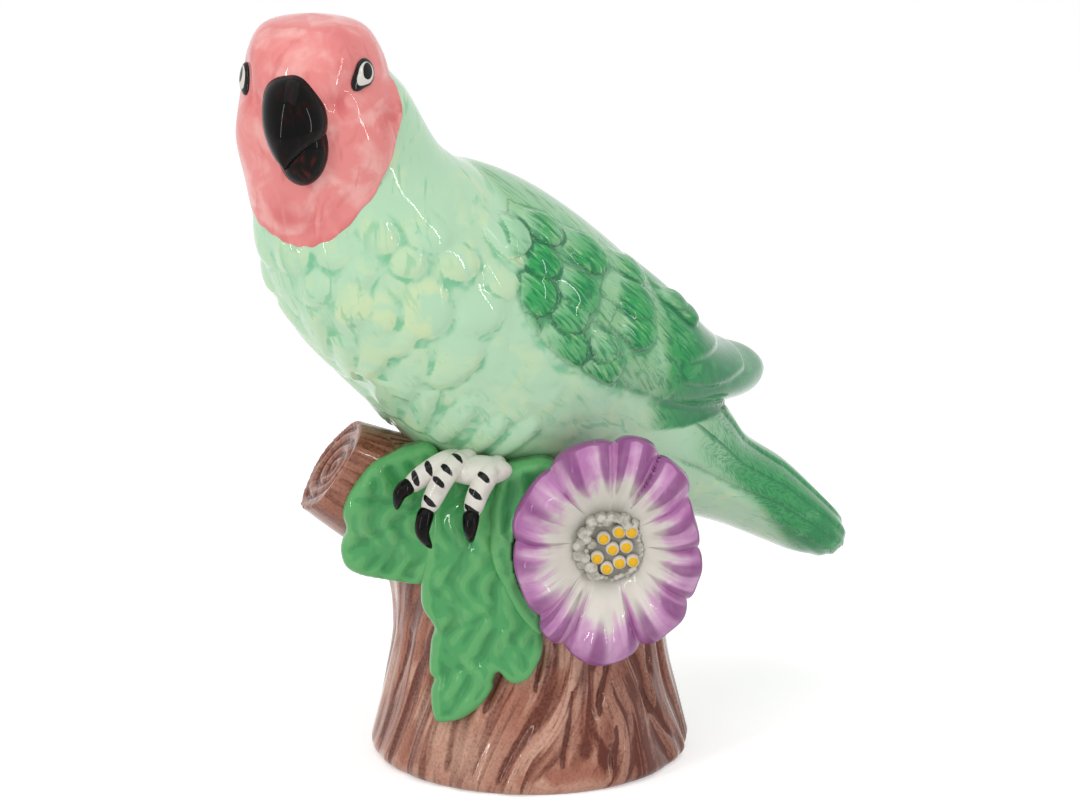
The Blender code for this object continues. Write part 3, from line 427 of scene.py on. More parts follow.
class FigurineColours(bpy.types.PropertyGroup):
    """The paints under the glaze."""

    pink: paint("Pink", "Hood", 238, 142, 139)
    # Rose is also painted shade in the hood's hollows
    rose: paint("Rose", "Brush strokes on the hood", 208, 88, 92)
    blush: paint("Blush", "Thin paint on the hood", 250, 184, 178)
    mint: paint("Mint", "Breast and neck", 186, 226, 190)
    cream: paint("Cream", "Middles of the breast feathers", 210, 232, 184)
    # Teal is painted shade in the hollows between feathers, and also brush strokes
    teal: paint("Teal", "Shading between the breast feathers", 96, 190, 142)
    green: paint("Green", "Coverts and long feathers", 60, 164, 92)
    # Forest is painted shade in the creases between the coverts, and also the dark lines and strokes
    forest: paint("Forest", "Deep paint between the coverts", 20, 118, 76)
    leaf: paint("Leaf", "Leaves", 80, 164, 98)
    # Fresh is also painted light on the leaves' ridges
    fresh: paint("Fresh", "Thin paint on the leaves", 122, 190, 120)
    # Moss is painted shade in the leaves' creases, and also darker brush strokes
    moss: paint("Moss", "Creases of the leaves", 44, 120, 68)
    bark: paint("Bark", "Bark", 176, 114, 93)
    # Sap is also painted shade in the bark's grooves
    sap: paint("Sap", "Grooves in the bark", 92, 40, 28)
    # Sand is also painted light on the bark's ridges
    sand: paint("Sand", "Thin paint on the bark", 218, 172, 150)
    orchid: paint("Orchid", "Petal rims", 176, 104, 166)
    lilac: paint("Lilac", "Thin paint on the petals", 214, 168, 202)
    # Plum is painted shade in the folds between the petals
    plum: paint("Plum", "Folds between the petals", 130, 66, 122)
    white: paint("White", "Glaze with no paint under it", 226, 221, 212)
    grey: paint("Grey", "Shading in the flower's cup", 158, 156, 144)
    yellow: paint("Yellow", "Anthers", 240, 186, 24)
    black: paint("Black", "Beak, claws and eye lines", 10, 9, 9)
    # Dark red is a painted reddish reflection on the lower beak, and small patches on the upper beak and
    # claws
    dark_red: paint("Rust", "Thin black on the lower beak", 84, 32, 26)


def catmull(points, t):
    """The smooth curve through rows of points, read at t from 0 to 1."""
    rows = np.asarray(points, float)
    x = np.clip(t, 0, 1) * (len(rows) - 1)
    i = np.minimum(x.astype(int), len(rows) - 2)
    f = (x - i)[:, None]
    p0 = rows[np.maximum(i - 1, 0)]
    p1, p2 = rows[i], rows[i + 1]
    p3 = rows[np.minimum(i + 2, len(rows) - 1)]
    bend = 2 * p0 - 5 * p1 + 4 * p2 - p3
    return 0.5 * (2 * p1 + (p2 - p0) * f + bend * f**2 + (3 * p1 - p0 - 3 * p2 + p3) * f**3)


def smoothstep(x):
    x = np.clip(x, 0, 1)
    return x * x * (3 - 2 * x)


def to_curve(points, curve):
    """How far each 2-D point is from a line through some others."""
    nearest = np.full(len(points), np.inf)
    for a, b in zip(curve[:-1], curve[1:]):
        a, b = np.array(a), np.array(b)
        share = np.clip((points - a) @ (b - a) / ((b - a) @ (b - a)), 0, 1)
        nearest = np.minimum(nearest, np.linalg.norm(points - a - share[:, None] * (b - a), axis=1))
    return nearest


def within(points, outline):
    """Which 2-D points are inside a closed outline."""
    inside = np.zeros(len(points), bool)
    x, y = points[:, 0], points[:, 1]
    for (ax, ay), (bx, by) in zip(outline, (*outline[1:], outline[0])):
        crosses = (ay > y) != (by > y)
        at = ax + (y - ay) * (bx - ax) / (by - ay if by != ay else 1)
        inside ^= crosses & (x < at)
    return inside


def inside_by(points, outline):
    """How far inside a closed outline each 2-D point is, negative outside it."""
    reach = to_curve(points, (*outline, outline[0]))
    return np.where(within(points, outline), reach, -reach)


def made_up(row, column):
    """A fixed but uneven number from 0 to 1 for each place in a pattern."""
    return np.abs(np.sin(row * 12.9898 + column * 78.233 + 1.7) * 43758.5453) % 1


def positions(bm):
    return np.array([v.co for v in bm.verts], float)


def set_positions(bm, points):
    for vert, point in zip(bm.verts, points):
        vert.co = point


def seen_from(points, matrix):
    """Points of the world as they are in the frame that matrix leads out of."""
    back = np.array(matrix.inverted())
    return points @ back[:3, :3].T + back[:3, 3]


def around(points, place, radius):
    """A soft spot round a place, on both sides of the head."""
    x, y, z = place
    away = np.abs(points[:, 0]) - x, points[:, 1] - y, points[:, 2] - z
    return np.exp(-sum(a**2 for a in away) / radius**2)


def skin(across, along, place):
    """A closed skin made from a ball: place(t, angle) moves each of its points to the form."""
    bm = bmesh.new()
    bmesh.ops.create_uvsphere(bm, u_segments=across, v_segments=along, radius=1)
    unit = positions(bm)
    t = np.arccos(np.clip(unit[:, 2], -1, 1)) / math.pi
    set_positions(bm, place(t, np.arctan2(unit[:, 1], unit[:, 0])))
    bmesh.ops.recalc_face_normals(bm, faces=bm.faces)
    return bm


def ball(centre, radii, segments=32):
    bm = bmesh.new()
    bmesh.ops.create_uvsphere(bm, u_segments=segments, v_segments=segments // 2, radius=1)
    bm.transform(Matrix.Translation(centre) @ Matrix.Diagonal([*radii, 1]))
    return bm


def limb(points, radius, tip, across=48, along=60):
    """A round bar along a curve, which narrows to tip as a share of its radius."""
    path = np.array(points)

    def place(t, angle):
        middle = catmull(path, t)
        ahead = catmull(path, np.minimum(t + 0.02, 1)) - catmull(path, np.maximum(t - 0.02, 0))
        ahead /= np.linalg.norm(ahead, axis=1)[:, None]
        side = np.cross(ahead, (0.0, 1.0, 0.0))
        side /= np.linalg.norm(side, axis=1)[:, None]
        up = np.cross(ahead, side)
        ends = np.sqrt(np.clip(1 - (2 * t - 1) ** 6, 0, 1))
        width = (radius * (1 + (tip - 1) * t**2) * ends)[:, None]
        return middle + width * (side * np.cos(angle)[:, None] + up * np.sin(angle)[:, None])

    return skin(across, along, place)


def bird_matrix():
    """From the parrot's frame, x forward, y to its left and z above the crown, to the world."""
    return Matrix.Translation((0, 0, STUMP_HEIGHT)) @ Matrix.Rotation(math.pi + BIRD_TURN, 4, "Z")


def head_matrix():
    """From the head's frame, x to its left, -y forward and z up, to the world."""
    middle = bird_matrix() @ Vector((HEAD_FORWARD, 0.002, HEAD_ABOVE_CROWN))
    return Matrix.Translation(middle) @ Matrix.Rotation(-HEAD_TURN, 4, "Z")


def saddle(sections, half_width, across, along, ends):
    """A form through side-view sections, in the parrot's frame."""
    rows = np.array(sections)

    def place(t, angle):
        share = 0.5 - 0.5 * np.cos(math.pi * t)
        row = catmull(rows, share)
        middle = (row[:, 0:2] + row[:, 2:4]) / 2
        reach = (row[:, 2:4] - row[:, 0:2]) / 2
        near_end = np.clip(np.minimum(share, 1 - share) / ends, 0, 1)
        open_to = np.sqrt(1 - (1 - near_end) ** 2)
        side = middle + reach * (open_to * np.cos(angle))[:, None]
        wide = row[:, 4] * half_width * open_to
        return np.column_stack((side[:, 0], wide * np.sin(angle), side[:, 1]))

    return skin(across, along, place)


def head_form():
    def place(t, angle):
        height, face, nape, wide, aside = catmull(HEAD_SECTIONS, t).T
        middle, deep = (face + nape) / 2, (nape - face) / 2
        return np.column_stack((aside + wide * np.sin(angle), middle - deep * np.cos(angle), height))

    return skin(96, 96, place)


def together(forms):
    """One mesh that holds copies of all the forms."""
    joined = bmesh.new()
    for bm in forms:
        piece = bpy.data.meshes.new("form")
        bm.to_mesh(piece)
        joined.from_mesh(piece)
        bpy.data.meshes.remove(piece)
    return joined


def add_piece(name, forms, material=None):
    """One object that holds all of the forms."""
    mesh = bpy.data.meshes.new(name)
    together(forms).to_mesh(mesh)
    obj = bpy.data.objects.new(name, mesh)
    bpy.context.scene.collection.objects.link(obj)
    if material:
        finish(obj, material)
    return obj


def finish(obj, material):
    """Paints a piece and sets it on the frame in place of the plain solid."""
    obj.data.materials.clear()
    obj.data.materials.append(material)
    obj.data.shade_smooth()
    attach(obj, "root")
    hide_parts(NODE)


def bake(obj):
    """Replaces an object's mesh by the one that its modifiers make."""
    graph = bpy.context.evaluated_depsgraph_get()
    made = bpy.data.meshes.new_from_object(obj.evaluated_get(graph))
    obj.modifiers.clear()
    obj.data = made


def fuse(obj, grain):
    """Turns overlapping forms into one skin."""
    remesh = obj.modifiers.new("Fuse", "REMESH")
    remesh.mode = "VOXEL"
    remesh.voxel_size = grain
    bake(obj)


def mesh_points(mesh):
    points = np.empty(len(mesh.vertices) * 3)
    mesh.vertices.foreach_get("co", points)
    return points.reshape(-1, 3)


def mesh_normals(mesh):
    outward = np.empty(len(mesh.vertices) * 3)
    mesh.vertex_normals.foreach_get("vector", outward)
    return outward.reshape(-1, 3)


def move_points(mesh, points):
    mesh.vertices.foreach_set("co", points.ravel())
    mesh.update()


def smoothed(mesh, values, times):
    """Values on a mesh's points after each is drawn towards its neighbours several times."""
    pairs = np.empty(len(mesh.edges) * 2, np.int64)
    mesh.edges.foreach_get("vertices", pairs)
    first, second = pairs.reshape(-1, 2).T
    ends = np.concatenate((first, second))
    others = np.concatenate((second, first))
    count = np.bincount(ends, minlength=len(values))
    columns = values.reshape(len(values), -1).T
    for _ in range(times):
        columns = [np.bincount(ends, c[others], len(values)) / np.maximum(count, 1) for c in columns]
    return np.array(columns).T.reshape(values.shape)


def relief_shading(mesh, depth, times):
    """How hollow the skin is: 1 in a hollow of this depth, -1 on a ridge. The finishes paint shade into the
    hollows by it, and on the bark and leaves light onto the ridges.
    """
    points = mesh_points(mesh)
    drawn = smoothed(mesh, points, times) - points
    return np.clip(np.sum(drawn * mesh_normals(mesh), axis=1) / depth, -1, 1)


def note(mesh, name, values):
    """Keeps one value, or three, for each point of a mesh."""
    kind, key = ("FLOAT", "value") if values.ndim == 1 else ("FLOAT_VECTOR", "vector")
    attribute = mesh.attributes.new(name, kind, "POINT")
    attribute.data.foreach_set(key, values.astype(np.float32).ravel())


class Wire:
    """A shader value. Arithmetic on it adds Math nodes."""

    def __init__(self, finish_nodes, socket):
        self.nodes = finish_nodes
        self.socket = socket

    def math(self, operation, first, second=0.0):
        return self.nodes.add("ShaderNodeMath", {"operation": operation}, {0: first, 1: second})

    def __add__(self, other):
        return self.math("ADD", self, other)

    def __radd__(self, other):
        return self.math("ADD", other, self)

    def __sub__(self, other):
        return self.math("SUBTRACT", self, other)

    def __rsub__(self, other):
        return self.math("SUBTRACT", other, self)

    def __mul__(self, other):
        return self.math("MULTIPLY", self, other)

    def __rmul__(self, other):
        return self.math("MULTIPLY", other, self)

    def at_least(self, other):
        return self.math("MAXIMUM", self, other)

    def at_most(self, other):
        return self.math("MINIMUM", self, other)

    def size(self):
        return self.math("ABSOLUTE", self)

    def step(self, start, end):
        """0 at start, 1 at end and smooth between."""
        settings = {"interpolation_type": "SMOOTHSTEP"}
        return self.nodes.add(
            "ShaderNodeMapRange", settings, {0: self, 1: start, 2: end, 3: 0.0, 4: 1.0}
        )


class Nodes:
    """The nodes of one tree."""

    def __init__(self, tree):
        self.tree = tree

    def add(self, kind, settings, inputs, output=0):
        """Adds a node, makes its settings, feeds its sockets and returns one of its outputs."""
        node = self.tree.nodes.new(kind)
        for name, value in settings.items():
            setattr(node, name, value)
        for key, value in inputs.items():
            self.feed(node.inputs[key], value)
        return Wire(self, node.outputs[output])

    def feed(self, socket, value):
        if isinstance(value, Wire):
            self.tree.links.new(value.socket, socket)
        elif socket.type == "RGBA":
            socket.default_value = (*value, 1)
        else:
            socket.default_value = value

    def seen_straight(self):
        """1 for rays from the camera, mirrored or through glass, and 0 for those that light things."""
        seen = self.add("ShaderNodeLightPath", {}, {}, "Is Camera Ray")
        for kind in ("Is Glossy Ray", "Is Transmission Ray"):
            seen = seen.at_least(self.add("ShaderNodeLightPath", {}, {}, kind))
        return seen


class Finish(Nodes):
    """The nodes of one painted and glazed finish."""

    def __init__(self, name):
        self.material = bpy.data.materials.new(name)
        self.material.use_nodes = True
        super().__init__(self.material.node_tree)
        self.shader = self.tree.nodes["Principled BSDF"]

    def value(self, name):
        return self.add("ShaderNodeAttribute", {"attribute_name": name}, {}, "Fac")

    def vector(self, name):
        return self.add("ShaderNodeAttribute", {"attribute_name": name}, {}, "Vector")

    def place(self):
        return self.add("ShaderNodeTexCoord", {}, {}, "Object")

    def stretched(self, vector, scales):
        return self.add("ShaderNodeVectorMath", {"operation": "MULTIPLY"}, {0: vector, 1: scales})

    def noise(self, vector, scale, detail=2.0, distortion=0.0):
        inputs = {"Vector": vector, "Scale": scale, "Detail": detail, "Distortion": distortion}
        return self.add("ShaderNodeTexNoise", {}, inputs, 0)

    def blend(self, share, first, second):
        settings = {"data_type": "RGBA"}
        return self.add("ShaderNodeMix", settings, {0: share, 6: first, 7: second}, 2)

    def glaze(self, colour, height=None, depth=0.001, coat_ior=1.33):
        """Sets the paint under a clear glossy coat, over a relief of this depth."""
        self.feed(self.shader.inputs["Base Color"], colour)
        self.feed(self.shader.inputs["Roughness"], 0.45)
        self.feed(self.shader.inputs["Specular IOR Level"], 0.02)
        self.feed(self.shader.inputs["Coat Weight"], 1.0)
        self.feed(self.shader.inputs["Coat Roughness"], 0.03)
        self.feed(self.shader.inputs["Coat IOR"], coat_ior)
        if height:
            bump = self.add("ShaderNodeBump", {}, {"Strength": 1.0, "Distance": depth, "Height": height})
            self.feed(self.shader.inputs["Normal"], bump)
        return self.material


def along_body(points):
    """Down the body, round from its keel, and its level from 0 on the back to 1 on the keel."""
    rows = np.array(BODY_SECTIONS)
    line = (rows[:, 0:2] + rows[:, 2:4]) / 2
    deep = np.linalg.norm(rows[:, 2:4] - rows[:, 0:2], axis=1) / 2
    side = points[:, [0, 2]]
    best = np.full(len(points), np.inf)
    down, out, half = (np.zeros(len(points)) for _ in range(3))
    start = 0.0
    for a, b, deep_a, deep_b in zip(line[:-1], line[1:], deep[:-1], deep[1:]):
        step = b - a
        size = np.linalg.norm(step)
        share = np.clip((side - a) @ step / size**2, 0, 1)
        away = side - a - share[:, None] * step
        distance = np.linalg.norm(away, axis=1)
        nearer = distance < best
        best = np.where(nearer, distance, best)
        down = np.where(nearer, start + share * size, down)
        out = np.where(nearer, (away[:, 0] * -step[1] + away[:, 1] * step[0]) / size, out)
        half = np.where(nearer, deep_a + share * (deep_b - deep_a), half)
        start += size
    radius = np.hypot(out, points[:, 1])
    round_keel = np.arctan2(np.abs(points[:, 1]), out) * np.maximum(radius, 0.02)
    return down, round_keel, 0.5 + 0.5 * out / half


def feathers(down, round_keel):
    """Overlapping rounded feathers: height and nearness to the shaft."""
    down = down + 0.0030 * np.sin(round_keel * 190 + 1.1) + 0.0020 * np.sin(round_keel * 410)
    round_keel = round_keel + 0.0030 * np.sin(down * 150) + 0.0015 * np.sin(down * 390 + 2)
    height, shaft = np.zeros(len(down)), np.zeros(len(down))
    first = np.floor(down / BREAST_LENGTH)
    for row in (first, first - 1):
        place = round_keel / BREAST_WIDTH + 0.5 * (row % 2)
        column = np.round(place)
        luck = made_up(row, column)
        across = 2 * (place - column)
        reach = (down - row * BREAST_LENGTH) / (1.75 * BREAST_LENGTH)
        tip = 1 - 0.45 * across**2 - 0.24 * luck
        covered = smoothstep((tip - reach) / 0.10) * (1 - 0.40 * across**2)
        here = covered * (0.10 + 0.90 * np.clip(reach, 0, 1))
        over = here > height
        height = np.where(over, here, height)
        shaft = np.where(over, covered * (1 - across**2), shaft)
    return height, shaft


def mirrored(points):
    """Points of the parrot's frame, all brought to its left side."""
    return points * (1, 0, 1) + np.abs(points) * (0, 1, 0)


def nearest_gap(tree, points):
    return np.array([tree.find_nearest(Vector(p))[3] for p in points])


def hood_inside(points):
    """How far above the hood's lower edge each point of the head is."""
    turn = np.degrees(np.arctan2(points[:, 0], -points[:, 1]))
    turns, heights = np.array(HOOD_EDGE).T
    every = np.arange(-180, 180)
    edge = np.interp(every, turns, heights, period=360)
    edge = np.mean([np.roll(edge, k) for k in range(-14, 15)], axis=0)
    edge = edge + 0.0004 * np.sin(np.radians(every * 9)) + 0.0003 * np.sin(np.radians(every * 23))
    return points[:, 2] - np.interp(turn, every, edge, period=360)


def laid_feather(here, place, slant, tree, long, wide, soft):
    """One feather on the skin: its height from 0 to 1, and how far along it each point is."""
    on_skin, normal, _, _ = tree.find_nearest(Vector(place))
    lie = Vector((-math.cos(slant), 0, -math.sin(slant)))
    lie = np.array((lie - lie.dot(normal) * normal).normalized())
    normal = np.array(normal)
    away = here - np.array(on_skin)
    ahead = away @ lie / (long / 2)
    side = away @ np.cross(normal, lie) / (wide / 2)
    shape = np.hypot(np.maximum(ahead, 0), side * (1 + 0.15 * np.clip(-ahead, 0, 1)))
    rise = smoothstep((ahead + 1.5) / 1.9)
    covered = smoothstep((1 - shape) / (soft + 0.5 * (1 - rise))) * (1 - 0.3 * np.clip(shape, 0, 1) ** 2)
    return np.where(np.abs(away @ normal) < 0.012, covered * rise, 0), ahead


def coverts(points, tree):
    """Height, green paint and a number for each wing covert, for points of the parrot's frame."""
    here = mirrored(points)
    height, green, root = (np.zeros(len(points)) for _ in range(3))
    for i, (forward, up, long, wide, strength) in enumerate(COVERTS):
        place, _, _, _ = tree.ray_cast(Vector((forward, 0.1, up)), Vector((0, -1, 0)))
        one, ahead = laid_feather(here, place, COVERT_SLANT, tree, 1.12 * long, 1.12 * wide, 0.2)
        over = one > height
        height = np.where(over, one, height)
        green = np.where(over, min(1.15 * strength, 1) * smoothstep((ahead + 1.5) / 1.5), green)
        root = np.where(over, i + 1.0, root)
    return height, green, root


def breast_feathers(points, tree):
    """Height and cream paint of the large soft feathers, for points of the parrot's frame."""
    here = mirrored(points)
    height, cream = np.zeros(len(points)), np.zeros(len(points))
    for x, y, z, long, wide, strength in BREAST_FEATHERS:
        one, _ = laid_feather(here, (x, y, z), BREAST_SLANT, tree, long, wide, 0.45)
        over = one > height
        height = np.where(over, one, height)
        cream = np.where(over, strength * smoothstep(one / 0.5), cream)
    return height, cream


def strokes(points, slant):
    """A place along and across brush strokes that slope back and down, in the side view."""
    along = -points[:, 0] * math.cos(slant) - points[:, 2] * math.sin(slant)
    across = -points[:, 0] * math.sin(slant) + points[:, 2] * math.cos(slant)
    return across, along


def tree_in(mesh, matrix):
    """A mesh of the world, to be searched in the frame that matrix leads out of."""
    bm = bmesh.new()
    bm.from_mesh(mesh)
    bm.transform(matrix.inverted())
    return BVHTree.FromBMesh(bm)


def blend_neck(obj, times):
    """Smooths the skin where the head joins the body, behind the beak and below the eyes."""
    points = mesh_points(obj.data)
    x, y, z = seen_from(points, head_matrix()).T
    beside = (np.abs(x) < 0.036) & (z > -0.058) & (z < -0.002) & (y < 0.045)
    neck = beside & ((y > -0.006) | (z < -0.029))
    neck |= (z < 0.016) & (z > -0.004) & (y > 0.008) & (y < 0.045)
    soft = smoothed(obj.data, neck.astype(float), 6)[:, None]
    for _ in range(times):
        points = points + soft * 0.5 * (smoothed(obj.data, points, 1) - points)
        move_points(obj.data, points)


def above_wing_edge(points):
    """1 above the wings' lower edge and behind the coverts, also where the body stands proud."""
    lower = np.array(WING_SECTIONS)[:, 2:4]
    edge = np.interp(-points[:, 0], -lower[:, 0], lower[:, 1])
    return smoothstep((points[:, 2] - edge) / 0.0012 + 0.3) * smoothstep((-0.010 - points[:, 0]) / 0.015)


def wing_form():
    return saddle(WING_SECTIONS, WING_HALF_WIDTH, 160, 200, 0.05)


def wing_relief(bird, raised, sizes):
    """Height of the coverts, and of the layers of long feathers towards the wing tip."""
    side = bird[:, [0, 2]]
    layers = [smoothstep(inside_by(side, layer) / 0.0012 + 0.5) for layer in WING_LAYERS]
    from_root = smoothstep((-0.018 - bird[:, 0]) / 0.022)
    return sizes.covert_relief * raised + sizes.layer_step * sum(layers) * from_root


def tail_form(down, level, sizes):
    """Height of the long feathers on the upper side of the tail, and where the tail is."""
    tail = smoothstep((down - TAIL_START) / 0.02)
    long_feather = (level / TAIL_FEATHER + 0.25) % 1
    upper = smoothstep((0.62 + 3.5 * (down - TAIL_START - 0.03) - level) / 0.08)
    return sizes.tail_relief * tail * upper * long_feather**0.7, tail


def note_wings(mesh, bird, on_wing, raised, green):
    """Keeps where the wings are, and how strongly each part of them is painted green."""
    tip = smoothstep((-0.010 - bird[:, 0] - 0.3 * np.clip(0.030 - bird[:, 2], 0, 1)) / 0.020)
    back = smoothstep((0.030 - np.abs(bird[:, 1])) / 0.012) * smoothstep((0.034 - bird[:, 0]) / 0.02)
    between = smoothstep((0.036 - bird[:, 0]) / 0.01) * smoothstep((bird[:, 0] + 0.045) / 0.02)
    between = between * smoothstep((bird[:, 2] - 0.020) / 0.01)
    note(mesh, "wing", on_wing)
    washed = np.maximum(tip, 0.42 * np.maximum(back, between))
    note(mesh, "green", washed + (np.maximum(green, 0.3) - washed) * smoothstep(raised / 0.35))
    note(mesh, "tip", on_wing * smoothstep((-0.022 - bird[:, 0]) / 0.022))
    note(mesh, "covert", smoothstep((raised - 0.05) / 0.2))


def plumage_skin(sizes):
    """The body, wings and head as one plain skin."""
    body = saddle(BODY_SECTIONS, BODY_HALF_WIDTH, 160, 200, 0.06)
    wings = wing_form()
    head = head_form()
    for bm in (body, wings):
        bm.transform(bird_matrix())
    head.transform(head_matrix())
    trees = BVHTree.FromBMesh(body), BVHTree.FromBMesh(wings)
    obj = add_piece("plumage", [body, wings, head])
    fuse(obj, sizes.plumage_grain)
    blend_neck(obj, 60)
    return obj, trees


def plumage(sizes, colours):
    """The feathered skin, with the relief and the paint of every feather."""
    obj, (body_tree, wing_tree) = plumage_skin(sizes)
    mesh = obj.data
    add_hood(mesh, sizes, colours)
    points, outward = mesh_points(mesh), mesh_normals(mesh)
    bird = seen_from(points, bird_matrix())
    head = seen_from(points, head_matrix())
    to_body, to_wing = nearest_gap(body_tree, points), nearest_gap(wing_tree, points)
    on_wing = np.maximum(smoothstep((to_body - to_wing + 0.0003) / 0.0012), above_wing_edge(bird))
    raised, green, root = coverts(bird, BVHTree.FromBMesh(wing_form()))
    wing_height = wing_relief(bird, raised, sizes)
    down, round_keel, level = along_body(bird)
    fade = smoothstep((down - BREAST_START) / 0.02) * smoothstep((BREAST_END - down) / 0.03)
    flank, shaft = feathers(down, round_keel)
    flank = smoothed(mesh, flank, 3)
    breast, cream = breast_feathers(bird, tree_in(mesh, bird_matrix()))
    breast = smoothed(mesh, breast, 3)
    tail_height, tail = tail_form(down, level, sizes)
    small = sizes.flank_relief * fade * flank * (1 - smoothstep(breast / 0.5))
    body_height = small + tail_height
    under_hood = smoothstep(hood_inside(head) / 0.003)
    height = on_wing * wing_height + (1 - on_wing) * body_height
    height = smoothed(mesh, np.maximum(height, sizes.breast_relief * breast), 1)
    height = height * (1 - under_hood) + (face_relief(head) - 0.0012) * under_hood
    move_points(mesh, points + outward * height[:, None])
    # Fine and broad hollows of the feathered skin, for the shade painted into them
    note(mesh, "relief_shade", relief_shading(mesh, 0.00011, 6))
    note(mesh, "hollow", relief_shading(mesh, 0.00028, 30))
    note_wings(mesh, bird, on_wing, raised, green)
    note(mesh, "cream", np.maximum(cream, 0.5 * shaft * fade * (breast < 0.2)) * (raised < 0.3))
    note(mesh, "tail", tail)
    note(mesh, "level", level)
    note(mesh, "down", down)
    across, along = strokes(bird, BARB_SLANT)
    note(mesh, "lie", np.column_stack((across, along, root * 0.05)))
    note(mesh, "fall", np.column_stack((round_keel, down, bird[:, 1] * 0.2)))
    finish(obj, plumage_finish(sizes, colours))


def plumage_finish(sizes, colours):
    f = Finish("painted feathers")
    wing, green, covert, relief_shade = f.value("wing"), f.value("green"), f.value("covert"), f.value("relief_shade")
    place = f.place()
    broad = f.noise(place, 45.0, 2.0, 0.6)
    patches = f.noise(place, 120.0, 3.0, 0.8)
    barbs = f.noise(f.stretched(f.vector("lie"), (1000.0, 130.0, 400.0)), 1.0, 2.0, 0.4)
    brush = f.noise(f.stretched(f.vector("fall"), (300.0, 110.0, 80.0)), 1.0, 3.0, 1.2)
    cream = f.value("cream") * patches.step(0.34, 0.58)
    cream = cream.at_least(broad.step(0.48, 0.62) * patches.step(0.46, 0.60) * 0.55)
    colour = f.blend(cream.at_most(1.0), colours.mint, colours.cream)
    # Painted shade in teal in the fine and broad hollows between the feathers, with teal brush strokes
    hollow = relief_shade.step(0.10, 0.90)
    wash = brush.step(0.54, 0.66) * broad.step(0.42, 0.60) * 0.45
    shaded = f.value("hollow").step(0.10, 1.0) * patches.step(0.36, 0.60) * 0.65
    edge = hollow * patches.step(0.42, 0.60) * 0.7
    colour = f.blend(shaded.at_least(edge).at_least(wash).at_most(0.9), colour, colours.teal)
    level, down, tail = f.value("level"), f.value("down"), f.value("tail")
    feather = f.add("ShaderNodeMath", {"operation": "FRACT"}, {0: level * (1 / TAIL_FEATHER) + 0.25})
    beside = (feather - 0.5).size() * 0.012
    herringbone = f.add("ShaderNodeCombineXYZ", {}, {0: (down - beside * 1.3) * 900.0, 1: level * 30.0})
    tail_barbs = f.noise(herringbone, 1.0, 2.0)
    tail_top = tail * (level - down.step(0.210, 0.290) * 0.5).step(0.60, 0.42)
    tail_green = tail_top * down.step(0.172, 0.222) * (0.65 + patches * 0.8)
    paint_green = (wing * green * (0.35 + patches * 1.5)).at_least(tail_green).at_most(1.0)
    colour = f.blend(paint_green, colour, colours.green)
    lines = (wing * barbs.step(0.50, 0.60)).at_least(tail_top * tail_barbs.step(0.48, 0.58))
    dark = lines * paint_green.step(0.15, 0.75) * 0.7
    dark = dark.at_least(f.value("tip") * (0.35 + patches.step(0.30, 0.60) * 0.5))
    dark = dark.at_least(tail_top * down.step(0.225, 0.280) * patches.step(0.35, 0.65) * 0.6)
    # Painted shade in the creases under and between the coverts
    gap = hollow * wing * (covert * 0.9 + green * 0.8).at_most(0.85)
    ridge_line = tail_top * feather.step(0.16, 0.0) * 0.85
    colour = f.blend(dark.at_least(gap).at_least(ridge_line).at_most(1.0), colour, colours.forest)
    pale = wing * barbs.step(0.44, 0.34) * patches.step(0.40, 0.60) * (covert * 0.40)
    colour = f.blend(pale, colour, colours.cream)
    height = (wing * barbs + tail_top * tail_barbs) * 0.8 + brush * 0.25
    return f.glaze(colour, height, sizes.barb_depth)


def face_relief(head):
    """How far the face's swellings and dents lift each point of the head's frame."""
    return sum(rise * around(head, place, radius) for place, radius, rise in FACE_FORMS)


def add_hood(plumage_mesh, sizes, colours):
    """The pink hood: a finer copy of the head's skin that stands a little off the neck."""
    bm = bmesh.new()
    bm.from_mesh(plumage_mesh)
    hood = hood_inside(seen_from(positions(bm), head_matrix()))
    on_head = seen_from(positions(bm), head_matrix())[:, 2] > -0.06
    outside = [v for v, h, near in zip(bm.verts, hood, on_head) if h < -0.0025 or not near]
    bmesh.ops.delete(bm, geom=outside, context="VERTS")
    bmesh.ops.subdivide_edges(bm, edges=bm.edges, cuts=1, use_grid_fill=True)
    bmesh.ops.smooth_vert(bm, verts=bm.verts, factor=0.5, use_axis_x=True, use_axis_y=True, use_axis_z=True)
    rim = [e for e in bm.edges if e.is_boundary]
    turned_in = bmesh.ops.extrude_edge_only(bm, edges=rim)["geom"]
    inner = [v for v in turned_in if isinstance(v, bmesh.types.BMVert)]
    middle = head_matrix() @ Vector((0, 0, -0.012))
    bmesh.ops.scale(bm, vec=(0.8, 0.8, 0.8), verts=inner, space=Matrix.Translation(-middle))
    bmesh.ops.holes_fill(bm, edges=[e for e in bm.edges if e.is_boundary], sides=0)
    bmesh.ops.recalc_face_normals(bm, faces=bm.faces)
    obj = add_piece("hood", [bm])
    mesh = obj.data
    points, outward = mesh_points(mesh), mesh_normals(mesh)
    head = seen_from(points, head_matrix())
    inside = hood_inside(head)
    edge = smoothstep((inside + 0.0012) / 0.0018)
    height = (sizes.hood_raise + 0.0012 + face_relief(head)) * edge - 0.0012
    move_points(mesh, points + outward * height[:, None])
    stroke = sum(s * around(head, place, radius) for place, radius, s in FACE_BLUSHES)
    note(mesh, "stroke", np.clip(stroke + 0.5 * smoothstep((0.004 - inside) / 0.004), 0, 1))
    note(mesh, "relief_shade", relief_shading(mesh, 0.0001, 12))
    finish(obj, hood_finish(colours))


